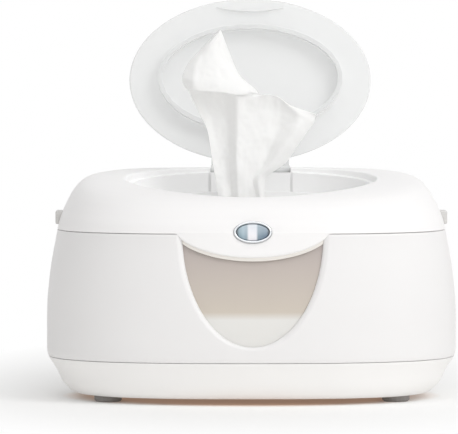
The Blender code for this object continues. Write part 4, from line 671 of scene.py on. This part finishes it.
# %% Floor, slit and inside
SLOT_X = 35.9 * MM
SLOT_Y = 15.9 * MM
under = [ring(RIM_TURNS, SLOT_X + grow, SLOT_Y + grow, RECESS_FLOOR - below, LID_CENTRE_Y)
         for grow, below in ((0.3 * MM, 0), (0, 0.3 * MM), (0, COVER_WALL))]
under.append(rim_ring(COVER_WALL, RECESS_FLOOR - COVER_WALL))
inner_outline = body_ring(SHELL_TOP, COVER_WALL)[:, :2]
inner_rim = rim_ring(COVER_WALL, 0.0)[:, :2]
for share in (np.arange(28, 0, -1) / 28) ** CROWD:
    plan = inner_outline * (1 - share) + inner_rim * share
    under.append(np.column_stack((plan, cover_height(plan[:, 0], plan[:, 1], COVER_WALL))))
under += [side_ring(share, COVER_WALL) for share in np.linspace(0, 1, 8)]
under.append(edge_ring(drop, 0.0, COVER_WALL - 0.2 * MM))
cover = skin("cover_skin", lower + outside + recess + under, closed=True)
print("cover rises to", round(max(v.co.z for v in cover.data.vertices) * 1000, 1), "mm")

# %% [markdown]
# ## Dish round the button
# A moulded cover dips a little round a push button, so that a fingertip finds it. The dip is far shallower than a
# Boolean could cut cleanly, so the skin's outer points near the button are pushed in along a smooth bell.

# %% Dish
BUTTON_Y = -(float(half_sizes(SHELL_TOP)[1])) + 0.8 * MM
BUTTON_Z = SEAM + 1.0 * MM
DISH_X, DISH_Z, DISH_DEPTH = 19 * MM, 13 * MM, 0.9 * MM
for vert in cover.data.vertices:
    outer = vert.co.y < front_y(vert.co.x, min(vert.co.z, SHELL_TOP), COVER_WALL / 2) or vert.co.z > SEAM + 8 * MM
    away = sqrt((vert.co.x / DISH_X) ** 2 + ((vert.co.z - BUTTON_Z) / DISH_Z) ** 2)
    if outer and away < 1 and vert.co.y < -60 * MM:
        vert.co.y += DISH_DEPTH * (1 - away * away) ** 2
print("dish of", round(1000 * DISH_DEPTH, 1), "mm round the button")

# %% [markdown]
# ## Hinge of the cover, and the sockets cut in it
# The lid's neck lies in a well behind the recess, with a flat panel in front of it. The button's bezel, two side
# tabs and the adapter's inlet each sit in an opening, and four bosses take the screws of the pan below the cover.

# %% Added to the cover
NECK_HALF = 26.9 * MM
WELL_FLOOR = PIVOT_Z - 1.2 * MM
WELL_BACK = PIVOT_Y + 4.4 * MM
PANEL_Y = 43.2 * MM
COVER_SCREWS = [(x * MM, y * MM) for x in (-97, 97) for y in (-38, 34)]
RIB_OUT, RIB_IN, RIB_DEPTH = (61.5 * MM, 36 * MM), (59.9 * MM, 34.4 * MM), 8 * MM
RIB_TURNS = even_turns(*RIB_OUT, 2, 240)
panel = block("panel", (-NECK_HALF - 3 * MM, PANEL_Y, RECESS_FLOOR - 1.2 * MM),
              (NECK_HALF + 3 * MM, WELL_BACK + 2 * MM, CREST - 2.2 * MM))
cheeks, lobes = [], []
for x in (-HINGE_X, HINGE_X):
    cheeks.append(crossbar("cover_knuckle", KNUCKLE_RADIUS, x - KNUCKLE_HALF, x + KNUCKLE_HALF, HINGE_Y, HINGE_Z))
    wall_y = rear_y(abs(x) + KNUCKLE_HALF, SHELL_TOP, 1.6 * WALL)
    lobes.append(block("cover_arm", (x - 5.7 * MM, wall_y, HINGE_Z + 0.9 * MM),
                       (x + 5.7 * MM, HINGE_Y, HINGE_Z + 5 * MM)))
bosses = uprights("cover_boss", BOSS_RADIUS, COVER_SCREWS, 116.3 * MM, 132.5 * MM)


def collar_top(x, y):
    return lid_plane(y) - (LID_THICKNESS + RIB_DEPTH + 1.6 * MM + 2 * FIT) / cos(LID_SLOPE)


collar = skin("collar", [ring(RIB_TURNS, *half, z, LID_CENTRE_Y) for half, z in (
    (RIB_OUT, RECESS_FLOOR - FIT), (RIB_OUT, collar_top), (RIB_IN, collar_top), (RIB_IN, RECESS_FLOOR - FIT))],
    closed=True)
add(cover, panel)
add(cover, *cheeks, *bosses, collar)
add(cover, *lobes)

# %% Cut from the cover
BUTTON_TURN = Matrix.Translation((0, BUTTON_Y, BUTTON_Z)) @ Matrix.Rotation(pi / 2 - radians(10), 4, "X")
OVAL_TURNS = even_turns(12.3 * MM, 7.2 * MM, 2, 120)


def oval_stack(name, profile, closed=False):
    """Skin through ovals given as half width, half height and height along the axis, put at the button."""
    rings = [ring(OVAL_TURNS, wide, high, z) for wide, high, z in profile]
    made = skin(name, rings, closed=closed, poles=not closed)
    made.data.transform(BUTTON_TURN)
    return made


def through(half_x, half_y, low, high):
    return (half_x * MM, half_y * MM, low * MM), (half_x * MM, half_y * MM, high * MM)


tools = [block("well", (-NECK_HALF, PANEL_Y - PAST, WELL_FLOOR), (NECK_HALF, WELL_BACK, CREST + PAST), 0.35 * MM),
         oval_stack("bezel_seat", through(12.6, 7.5, -1, 10))]
for side in (-1, 1):
    near, far = sorted((side * 116 * MM, side * 145 * MM))
    tools.append(block("tab_hole", (near, -9.4 * MM, SEAM + 2.3 * MM), (far, 9.4 * MM, SEAM + 11.9 * MM), 1.2 * MM))
    x = side * HINGE_X
    tools.append(crossbar("cover_bore", PIN_BORE, x - 12 * MM, x + 12 * MM, HINGE_Y, HINGE_Z))
INLET_Z = SEAM + 10.5 * MM
inlet_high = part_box("power_inlet")[1]
seat_y = inlet_high.y - SHIFT_Y - 1.8 * MM
tools.append(bar("inlet_seat", 6.5 * MM, (0, seat_y, INLET_Z), (0, BEYOND_Y, INLET_Z), 72))
tools += uprights("cover_pilot", PIN_BORE, COVER_SCREWS, 114.3 * MM, 125.6 * MM)
cut(cover, *tools)
cut(cover, crossbar("barrel_well", 3.8 * MM, -NECK_HALF, NECK_HALF, PIVOT_Y, PIVOT_Z),
    bar("inlet_hole", 5.1 * MM, (0, 68 * MM, INLET_Z), (0, BEYOND_Y, INLET_Z), 72),
    oval_stack("bezel_hole", through(11.8, 6.7, -10, 10)))

# %% Grooves, tongue's ends and pin
# A narrow upright groove runs down the recess's rear wall on either side of the lid's neck
grooves = []
for side in (-1, 1):
    near, far = sorted((side * 26.4 * MM, side * 28.2 * MM))
    grooves.append(block("groove", (near, 36 * MM, RECESS_FLOOR + 1.5 * MM), (far, 42.7 * MM, CREST + PAST)))
cut(cover, *grooves)
# The tongue's ends are trimmed to the window's rounded edge, so that they drop into the opening with a gap all round
surround = block("surround", (-55 * MM, -BEYOND_Y, 98 * MM), (55 * MM, -60 * MM, SHELL_TOP + 0.15 * MM))
cut(surround, window_cutter("tongue_room", window_outline(49.1 * MM, WINDOW_DROP),
                            window_outline(45.1 * MM, INNER_DROP)))
cut(cover, surround)
cut(cover, crossbar("pin_bore", 1.65 * MM, -NECK_HALF - 3.5 * MM, NECK_HALF + 3.5 * MM, PIVOT_Y, PIVOT_Z))

# %% Finish of the cover
# The recess is painted a shade whiter than the satin outside: painted light that stands in for the light bouncing
# about inside the white recess
cover_white_painted_recess_light = surface("satin_abs_cover_painted_recess_light", "#F7F6F6", 0.42, grain_mm=1.1, bump_mm=0.006)
tree = cover_white_painted_recess_light.node_tree
place, _ = own_place(tree)
plan = vector_maths(tree, "ADD", place, (0, -LID_CENTRE_Y - SHIFT_Y, 0))
from_rim = vector_maths(tree, "LENGTH", vector_maths(tree, "MULTIPLY", plan, (1 / RIM_X, 1 / RIM_Y, 0)))
# Inside the rim the colour turns pure white, the painted light of the recess
recolour(cover_white_painted_recess_light, blend(tree, mapped(tree, from_rim, 1.04, 1.0), linear("#F7F6F6"), linear("#FFFFFF")))
settle(cover, cover_white_painted_recess_light, "cover", "top_cover", slot="white_abs")

# %% [markdown]
# ## Painted highlight under the tongue
# A narrow pale cream strip shows below the tongue's edge: a painted highlight that stands in for the light that the
# tongue's rounded lower edge catches from the floor. It is a thin strip set back inside the tongue's thickness, so
# it moves with the cover.

# %% Painted highlight under the tongue
HIGHLIGHT_STRIP_SECTION = ((1.0, 1.2), (1.0, -2.0), (1.3, -2.3), (1.7, -2.3), (2.0, -2.0), (2.0, 1.2))
rings = []
for x in np.linspace(-45.3, 45.3, 91) * MM:
    edge_z = SEAM - tongue_drop(x)
    rings.append([(x, float(front_y(x, edge_z + up * MM, inset * MM)), edge_z + up * MM)
                  for inset, up in HIGHLIGHT_STRIP_SECTION])
painted_edge_highlight = skin("tongue_edge_painted_highlight", rings, poles=True)
settle(painted_edge_highlight, pale_cream_painted_highlight, "cover", slot="soft_white_tpe")

# %% [markdown]
# ## Flip lid
# The lid is a thin oval plate of frosted plastic, slightly domed, with a soft edge. A low oval rib on its inside
# shows through as a faint ring, and a small crescent near its free end is there for the thumb. It is built lying on
# its own pivot, x across, z along and y towards its outer face, and then turned to where it stands open.

# %% Flip lid
LID_PLACE = Matrix.Translation((0, PIVOT_Y, PIVOT_Z)) @ Matrix.Rotation(-LID_LEAN, 4, "X")
INNER_Y = PIVOT_BELOW_LID - LID_THICKNESS
LID_MIDDLE = 6 * MM + LID_HALF_LENGTH


def lid_ring(half_x, half_z, y, turns=RIM_TURNS):
    flat = ring(turns, half_x, half_z, 0.0)
    return np.column_stack((flat[:, 0], np.full(len(flat), y), LID_MIDDLE + flat[:, 1]))


rings = [lid_ring(LID_HALF_WIDTH * s, LID_HALF_LENGTH * s, INNER_Y) for s in (0.15, 0.4, 0.7, 0.9)]
soft = LID_THICKNESS / 2
for turn in np.linspace(-pi / 2, pi / 2, 11):
    back = soft * (1 - cos(turn))
    rings.append(lid_ring(LID_HALF_WIDTH - back, LID_HALF_LENGTH - back, INNER_Y + soft * (1 + sin(turn))))
for s in (0.93, 0.85, 0.75, 0.6, 0.45, 0.3, 0.15):
    rings.append(lid_ring(LID_HALF_WIDTH * s, LID_HALF_LENGTH * s, PIVOT_BELOW_LID + 1.2 * MM * (1 - s * s)))
lid = skin("flip_lid_skin", rings, poles=True)
rib_low = INNER_Y - RIB_DEPTH
rib = skin("rib", [lid_ring(*half, y, RIB_TURNS) for half, y in (
    (RIB_OUT, INNER_Y + FIT), (RIB_OUT, rib_low + 0.3 * MM), ((61.2 * MM, 35.7 * MM), rib_low),
    ((60.2 * MM, 34.7 * MM), rib_low), (RIB_IN, rib_low + 0.3 * MM), (RIB_IN, INNER_Y + FIT))], closed=True)

# %% Thumb crescent, neck and barrel
far = LID_MIDDLE + LID_HALF_LENGTH - 6.5 * MM
rings = []
for share in np.linspace(-1, 1, 41):
    x, z = 23 * MM * share, far - 3 * MM * (1 - share ** 2)
    full = sqrt(max(1 - share ** 2, 0))
    thick = 1.6 * MM * (0.35 + 0.65 * full)
    deep = 3 * MM * (0.25 + 0.75 * full)
    rings.append([(x, INNER_Y + FIT, z), (x, INNER_Y - deep, z + 0.2 * thick), (x, INNER_Y - deep, z + 0.8 * thick),
                  (x, INNER_Y + FIT, z + thick)])
thumb = skin("thumb", rings, poles=True)
add(lid, rib, thumb)
neck = block("neck", (-26.2 * MM, INNER_Y + 0.1 * MM, 0.0), (26.2 * MM, PIVOT_BELOW_LID - 0.1 * MM, 12.0 * MM))
add(lid, neck)
add(lid, crossbar("barrel", 3.4 * MM, -26.5 * MM, 26.5 * MM, 0, 0))
cut(lid, crossbar("barrel_bore", PIN_BORE, -40 * MM, 40 * MM, 0, 0))
lid.data.transform(LID_PLACE)
settle(lid, frosted, "lid", "flip_lid", slot="frosted_lid_pp")

# %% [markdown]
# ## Window pane
# A tinted pane lies behind the opening and follows the housing's curve. Each ring goes along its front face and back
# along its rear face at one height, so its thickness stays even, and a row on the line halfway between closes it
# above and below. Two steps in its upper edge leave room for the cover's front and for the button.

# %% Window pane
PANE_HALF, PANE_DROP, PANE_THICKNESS = 53 * MM, 78.7 * MM, 1.8 * MM
PANE_TOP, PANE_BOTTOM = LEDGE_TOP - 2.9 * MM, BASE_TOP + 4.9 * MM
rings = []
for share in np.linspace((SHELL_TOP - PANE_TOP) / PANE_DROP, (SHELL_TOP - PANE_BOTTOM) / PANE_DROP, 44):
    z = SHELL_TOP - PANE_DROP * share
    x = np.linspace(-1, 1, 60) * PANE_HALF * sqrt(1 - share ** 2)
    front, middle, back = (np.column_stack((x, front_y(x, z, WALL + FIT + deep), np.full(60, z)))
                           for deep in (0, PANE_THICKNESS / 2, PANE_THICKNESS))
    closing = np.vstack((middle, middle[::-1]))
    rings += ([] if rings else [closing]) + [np.vstack((front, back[::-1]))]
pane = skin("window_pane", [*rings, closing])
cut(pane, block("top", (-35 * MM, -BEYOND_Y, SHELL_TOP - 7.2 * MM), (35 * MM, 0, 113 * MM)))
cut(pane, block("relief", (-13.9 * MM, -BEYOND_Y, 100.1 * MM), (13.9 * MM, -PAST, 112 * MM)))
# The pane is painted pale at the bottom, where the white wipes show through, and darker towards the top: a painted
# shade of the empty space inside the tub above them
tree = window_tint_painted_shade.node_tree
height = own_place(tree)[1]["Z"]
above = blend(tree, mapped(tree, height, 60 * MM, 100 * MM), linear("#E4DACD"), linear("#CDC2BD"))
recolour(window_tint_painted_shade, blend(tree, mapped(tree, height, 56 * MM, 61 * MM), linear("#FCFBF8"), above))
settle(pane, window_tint_painted_shade, "housing", "window_lens", slot="window_polycarbonate")

# %% [markdown]
# ## Light button
# The button is a clear oval dome in a chrome ring. The ring is a torus-like band with a rounded crest, and the dome
# sits just inside it, so that the eye sees mirror, a dark gap and then the dome.

# %% Bezel and button
inner_x, inner_y = 10.7 * MM, 5.6 * MM
profile = [(inner_x, inner_y, -4.2 * MM), *through(11.5, 6.4, -4.2, -0.7), (12.3 * MM, 7.2 * MM, -0.7 * MM)]
for turn in np.linspace(0, pi, 13):
    grow = 0.8 * MM * (1 + cos(turn))
    profile.append((inner_x + grow, inner_y + grow, 0.2 * MM + 1.0 * MM * sin(turn)))
bezel = oval_stack("bezel_ring", profile, closed=True)
settle(bezel, chrome, "cover", "button_bezel", slot="chromed_abs")
cap_x, cap_y = inner_x - FIT, inner_y - FIT
foot_x, foot_y = inner_x + 0.6 * MM, inner_y + 0.6 * MM
profile = [(foot_x, foot_y, -5.4 * MM), (foot_x, foot_y, -4.5 * MM), (cap_x, cap_y, -4.5 * MM), (cap_x, cap_y, -FIT)]
for share in (0.99, 0.97, 0.93, 0.87, 0.78, 0.66, 0.52, 0.36, 0.18):
    profile.append((cap_x * share, cap_y * share, -0.1 * MM + 1.4 * MM * (1 - share ** 2) ** 0.6))
button = oval_stack("button_dome", profile)
# Painted reflections on the dome: a pale band of painted highlight between two grey-blue halves, with painted shade
# at the dark ends
tree = button_painted_reflections.node_tree
apart = own_place(tree)[1]
bands = add_node(tree, "ShaderNodeValToRGB", {"Fac": mapped(tree, apart["X"], -cap_x, cap_x)})
stops = bands.color_ramp.elements
for at, hexed in ((0.02, "#56646C"), (0.07, "#8FA8B4"), (0.20, "#A8BEC9"), (0.31, "#9DB0BC"), (0.37, "#F6F5F9"),
                  (0.60, "#F3F3F8"), (0.66, "#8A9DAB"), (0.80, "#7C90A0"), (0.92, "#74879A"), (0.98, "#4A5864")):
    stops.new(at).color = linear(hexed)
stops.remove(stops[0])
stops.remove(stops[-1])
# The upper part is painted lighter, a painted light from above
painted_top_light = mapped(tree, apart["Z"], BUTTON_Z - 0.5 * cap_y, BUTTON_Z + cap_y, 0.0, 0.55)
recolour(button_painted_reflections, blend(tree, painted_top_light, bands.outputs["Color"], linear("#D3DEE6")))
settle(button, button_painted_reflections, "button", "light_button", slot="clear_button_acrylic")

# %% [markdown]
# ## Wipes
# The raised wipe is one thin sheet. Coming out of the slit it stands as a pleated column, its right side opens into
# a flap, and its end folds forward and up into a point. A net of a few measured points holds those folds, a smooth
# curve through the net in both directions gives the sheet, and a fine noise adds the crinkle of a damp non-woven.
# The stack in the tub shows as folded edges behind the window.

# %% Net of the raised wipe, in millimetres: each row's x, depth towards the back, and z
WIPE_ROWS = (
    ((-21, -17, -13, -8, -4, 0, 4, 7, 9), (0, -3, 2, -3, 2, -3, 2, -2, 0), 119.9),
    ((-22, -18, -13, -8.5, -5, -1, 3, 6, 8.5), (1, -3, 4, -5, -2, 2, 3, -3, 0), 132),
    ((-23.6, -19, -14, -9, -5, -2, 1, 4.5, 8.6), (2, 2, 5, -6, -3, 1, 4, -3, 1), 143),
    ((-25.6, -21, -15, -9.5, -5, 1, 8, 13.5, 23), (3, 5, 6, -7, -4, 1, 5, -4, 2),
     (155, 155, 155, 155, 155, 154, 154, 154, 155)),
    ((-27.2, -22, -15.5, -9.5, -4.5, 4, 13, 21, 30.2), (3, 6, 7, -7, -4, 2, 6, -5, 1),
     (166, 166, 166, 166, 166, 166, 166, 165.6, 165.6)),
    ((-29, -24, -16.5, -9, -3.5, 6, 17, 28, 37), (3, 7, 7, -7, -4, 2, 6, -6, 0),
     (176, 177, 177, 177, 177, 177, 177, 176, 175.5)),
    ((-34, -27, -17.5, -9, -3, 7, 19, 33, 41.5), (3, 7, 6, -7, -4, 1, 4, -5, 0),
     (187, 188, 188, 188, 188, 188, 187, 184, 182)),
    ((-39.5, -31, -19, -9, -1, 9, 17, 25, 42.6), (2, 6, 5, -7, -5, -3, -1, 0, -1),
     (198, 199, 199, 198, 198, 199.6, 198.4, 192.8, 186.5)),
    ((-42, -33, -20, -9, 0, 9, 16, 24, 41), (0, 2, 1, -5, -3, 2, 4, 5, 4),
     (204, 204, 203, 201.5, 201, 199, 197, 192, 186)),
    ((-42.5, -33, -20, -9, -2, 3, 5, 6, 8), (-6, -11, -11, -9, -6, -1, 3, 5, 6),
     (203.5, 202.4, 201.6, 199.6, 199.3, 199.2, 198, 196, 194)),
    ((-45.4, -36, -24, -14, -7, -2, 0, 2, 3.4), (-4, -11, -11, -9, -6, -3, -1, 1, 2),
     (210, 208, 206.5, 205, 204.5, 203.5, 203, 202.5, 202)),
    ((-42, -36, -29, -22, -16.5, -13, -11, -9.5, -8.2), (-2, -6, -7, -6, -5, -3, -2, -1, 0),
     (219, 218, 217, 216.5, 215.5, 214.5, 213.8, 213.2, 212.8)),
    ((-33.5, -30.5, -28, -25, -22.5, -20, -18, -16.2, -14.4), (0, -3, -4, -4, -3, -2, -1, -0.5, 0),
     (229, 229, 228.6, 228.4, 228, 227.6, 227.4, 227.2, 227)),
    ((-20.9, -20.8, -20.7, -20.6, -20.5, -20.4, -20.3, -20.2, -20.1),
     (0, -0.4, -0.6, -0.7, -0.7, -0.6, -0.4, -0.2, 0),
     (241.9, 241.9, 242, 242, 242, 242, 241.9, 241.8, 241.7)),
)
WIPE_NET = np.array([np.stack(np.broadcast_arrays(*row), axis=1) for row in WIPE_ROWS]) * MM
print("net of the wipe", WIPE_NET.shape)

# %% Raised wipe
def refined(net, count):
    """Net with more rows: each column gets a smooth curve through its points."""
    at = np.arange(len(net), dtype=float)
    fine = np.linspace(0, len(net) - 1, count)
    out = np.zeros((count, *net.shape[1:]))
    for column in range(net.shape[1]):
        for axis in range(3):
            out[:, column, axis] = curve_through(at, net[:, column, axis])(fine)
    return out


ROWS, COLUMNS = 150, 110
CREASES = ((0.6, 0.3, 55, 1.3), (0.7, 1.7, 140, 0.7), (1.0, 2.9, 330, 0.3))
dense = refined(WIPE_NET, ROWS)
dense = refined(dense.transpose(1, 0, 2), COLUMNS).transpose(1, 0, 2)
bm = bmesh.new()
bmesh.ops.create_grid(bm, x_segments=COLUMNS - 1, y_segments=ROWS - 1, size=1)
bm.verts.ensure_lookup_table()
for vert, place in zip(bm.verts, dense.reshape(-1, 3)):
    x, y, z = place
    crease = sum(noise.noise(Vector((x, z * squeeze, at)) * scale) * deep for squeeze, at, scale, deep in CREASES)
    # The slit holds the foot, and the pleats stay shallow up to where the flap spreads
    hold = min(max((z - 124 * MM) / (20 * MM), 0), 1)
    flap = min(max((z - 184 * MM) / (16 * MM), 0), 1)
    vert.co = (x, LID_CENTRE_Y + y * (0.35 + 0.2 * hold + 0.45 * flap) + crease * MM * hold, z)
wipe = finish_mesh("raised_wipe", bm, 180)
thick = wipe.modifiers.new("cloth thickness", "SOLIDIFY")
thick.thickness = 0.45 * MM
thick.offset = 0
graph = bpy.context.evaluated_depsgraph_get()
wipe.data = bpy.data.meshes.new_from_object(wipe.evaluated_get(graph))
wipe.modifiers.clear()

# %% [markdown]
# ## Finish of the wipes
# A spun-laced non-woven is a mat of fibres pressed by water jets. It has no thread pattern, only soft irregular
# fibres about a third of a millimetre apart, drawn here coarser, a little over one millimetre, so that they show.

# %% Non-woven
fibre = surface("spunlace_nonwoven", "#F8F8F7", 0.85, grain_mm=1.2, bump_mm=0.12, cloud=0.01,
                Sheen_Weight=0.10, Subsurface_Weight=0.35, Subsurface_Scale=0.002, Subsurface_Radius=(1, 1, 1))
settle(wipe, fibre, "cover", "wipe_sheet", slot="wipe_nonwoven")
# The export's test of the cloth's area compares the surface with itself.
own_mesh(wipe)

# %% Stack of wipes
STACK_LOW, STACK_HEIGHT = 15.5 * MM, 42.8 * MM
LAYERS = 14
FOLD = 80
STACK_TURNS = even_turns(88 * MM, 50 * MM, 4, 240)
layer = STACK_HEIGHT / LAYERS
rings = []
for k in range(LAYERS):
    slip = 0.5 * MM * noise.noise(Vector((k * 1.7, 0.2, 0.9)))
    for turn in np.linspace(-FOLD, FOLD, 7):
        back = 1.1 * MM * (1 - cos(radians(turn))) + 0.2 * MM
        z = STACK_LOW + layer * (k + 0.5 + 0.5 * sin(radians(turn)) / sin(radians(FOLD)))
        rings.append(ring(STACK_TURNS, 87.4 * MM - back + slip, 49.4 * MM - back + slip, z, 0.0, 4))
stack = skin("wipe_pile", rings, poles=True)
settle(stack, fibre, "housing", "wipe_stack", slot="wipe_nonwoven")

# %% [markdown]
# ## Parts that stay as they are in the frame
# Feet, screws, pins, tabs, seals, tub, heater and board keep their solids. Each gets the finish of its real
# material in place of the plain one that the frame brings.

# %% Finishes for the parts that stay
STAYING = {
    rubber: ["window_seal"] + [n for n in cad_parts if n.startswith("foot_")],
    zinc: [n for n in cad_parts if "hinge_pin" in n or "_screw_" in n],
    cream: ["inner_tub", "cover_underpan"],
    soft_white: ["cover_gasket", "dispenser_seal"],
    milky: ["lid_gasket"],
    film: ["heater_film"],
    aluminium: ["heater_plate"],
    nylon: ["thermostat", "tact_switch", "power_inlet"],
    board: ["control_board"],
    epoxy: ["led_left", "led_right"],
    pvc: ["inlet_lead", "heater_lead"],
    tab_white: ["release_tab_left", "release_tab_right"],
}
for finish, names in STAYING.items():
    for name in names:
        paint(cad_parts[name], finish)
shown = [n for n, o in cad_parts.items() if not o.hide_render]
print(len(shown), "frame parts shown;", sum(map(len, STAYING.values())), "given a finish")

# %% [markdown]
# ## Floor and background
# The warmer stands on a plain white sweep. The floor keeps its soft shadow near the object and fades to the white of
# the background further out. That white is only for the camera and for reflections, so it adds no light. The floor
# also glows faintly, painted light that stands in for light bouncing off it onto the object, and under the body its
# colour and the glow the camera sees are a warm brown, a painted contact shadow.

# %% Floor
bm = bmesh.new()
bmesh.ops.create_grid(bm, x_segments=1, y_segments=1, size=3.0)
floor = finish_mesh("floor", bm)
made = bpy.data.materials.new("white_sweep")
made.use_nodes = True
tree = made.node_tree
tree.nodes.clear()
place, apart = own_place(tree)
ray = add_node(tree, "ShaderNodeLightPath").outputs["Is Camera Ray"]
# Under the body the floor is painted warm brown: a painted contact shadow, in its colour and in the glow the camera
# sees there. Further out it is neutral
reach = vector_maths(tree, "LENGTH", vector_maths(tree, "MULTIPLY", place, (4.6, 6.2, 0.0)))
clear_of_painted_shadow = mapped(tree, reach, 0.46, 0.58)
floor_colour_painted_shadow = blend(tree, clear_of_painted_shadow, linear("#E3CBB8"), linear("#F4F4F3"))
seen_glow_painted_shadow = blend(tree, clear_of_painted_shadow, linear("#5C483E"), linear("#454545"))
dull = add_node(tree, "ShaderNodeBsdfDiffuse", {"Color": floor_colour_painted_shadow})
# The floor glows for every ray: painted light. Other rays get a faint grey that stands in for light bouncing off the
# floor onto the object, and the camera sees the grey lift with the painted shadow under the body
bounce = add_node(tree, "ShaderNodeEmission",
                  {"Color": blend(tree, ray, linear("#605E5C"), seen_glow_painted_shadow), "Strength": 1.0})
matt = add_node(tree, "ShaderNodeAddShader", {0: dull.outputs[0], 1: bounce.outputs[0]})
glow = add_node(tree, "ShaderNodeEmission", {"Color": (1, 1, 1, 1), "Strength": 1.0})
# The white of the background comes in sooner in front and at the right, where the photograph has no shadow
wide = maths(tree, "MULTIPLY", maths(tree, "ADD", apart["X"], 0.01), 8.5)
in_front = maths(tree, "MULTIPLY", maths(tree, "MINIMUM", apart["Y"], 0.0), 2.8)
deep = maths(tree, "MULTIPLY_ADD", apart["Y"], 3.4, in_front)
plan = add_node(tree, "ShaderNodeCombineXYZ", {"X": wide, "Y": deep}).outputs[0]
fade = mapped(tree, vector_maths(tree, "LENGTH", plan), 0.85, 2.0)
both = add_node(tree, "ShaderNodeMixShader",
                {0: maths(tree, "MULTIPLY", fade, ray), 1: matt.outputs[0], 2: glow.outputs[0]})
add_node(tree, "ShaderNodeOutputMaterial", {"Surface": both.outputs[0]})
paint(floor, made)
print("floor", floor.dimensions[:])

# %% World
world = bpy.data.worlds.new("studio")
bpy.context.scene.world = world
world.use_nodes = True
tree = world.node_tree
tree.nodes.clear()
path = add_node(tree, "ShaderNodeLightPath").outputs
mirror = maths(tree, "MAXIMUM", path["Is Camera Ray"], path["Is Glossy Ray"])
any_white = maths(tree, "MAXIMUM", mirror, path["Is Transmission Ray"])
place = add_node(tree, "ShaderNodeTexCoord").outputs["Generated"]
apart = add_node(tree, "ShaderNodeSeparateXYZ", {0: place}).outputs
AMBIENT, OVERHEAD, FROM_RIGHT = 0.49, 0.60, 0.07
strength = maths(tree, "MULTIPLY_ADD", apart["X"], FROM_RIGHT, mapped(tree, apart["Z"], 0.0, 1.0, AMBIENT, OVERHEAD))
soft_light = add_node(tree, "ShaderNodeBackground", {"Color": (1.0, 0.995, 0.99, 1), "Strength": strength})
white = add_node(tree, "ShaderNodeBackground", {"Color": (1, 1, 1, 1), "Strength": 1.0})
both = add_node(tree, "ShaderNodeMixShader", {0: any_white, 1: soft_light.outputs[0], 2: white.outputs[0]})
add_node(tree, "ShaderNodeOutputWorld", {"Surface": both.outputs[0]})
print("ambient light", AMBIENT, "to", OVERHEAD, "overhead")

# %% [markdown]
# ## Lamps and camera
# The light in the photograph comes softly from the upper right and in front, so that the right side is nearly white
# and the left side falls to a pale grey. The camera is far off with a long lens, a little above the seam.

# %% Lamps
LIT = Vector((0, 0, 0.1))


def lamp(name, place, size, power):
    data = bpy.data.lights.new(name, "AREA")
    data.shape = "RECTANGLE"
    data.size, data.size_y = size
    data.energy = power
    made = bpy.data.objects.new(name, data)
    bpy.context.collection.objects.link(made)
    made.location = place
    made.rotation_euler = (Vector(place) - LIT).to_track_quat("Z", "Y").to_euler()
    print(name, power, "W")


lamp("key", (1.5, -1.3, 1.5), (1.2, 1.2), 15)
lamp("front top", (0.1, -0.7, 1.9), (1.8, 1.4), 7)
lamp("front fill", (0.3, -2.8, 0.9), (2.4, 1.6), 8)

# %% Camera
AIM = Vector((-0.0147, 0, 0.1184))
AZIMUTH = radians(-0.4)
ELEVATION = radians(2.5)
DISTANCE = 3.0
data = bpy.data.cameras.new("camera")
data.lens = 356
data.sensor_width = 36
data.clip_end = 50
camera = bpy.data.objects.new("camera", data)
bpy.context.collection.objects.link(camera)
back = Vector((sin(AZIMUTH) * cos(ELEVATION), -cos(AZIMUTH) * cos(ELEVATION), sin(ELEVATION)))
camera.location = AIM + DISTANCE * back
camera.rotation_euler = back.to_track_quat("Z", "Y").to_euler()
scene = bpy.context.scene
scene.camera = camera
scene.view_settings.view_transform = "Standard"
print("camera at", [round(v, 3) for v in camera.location])
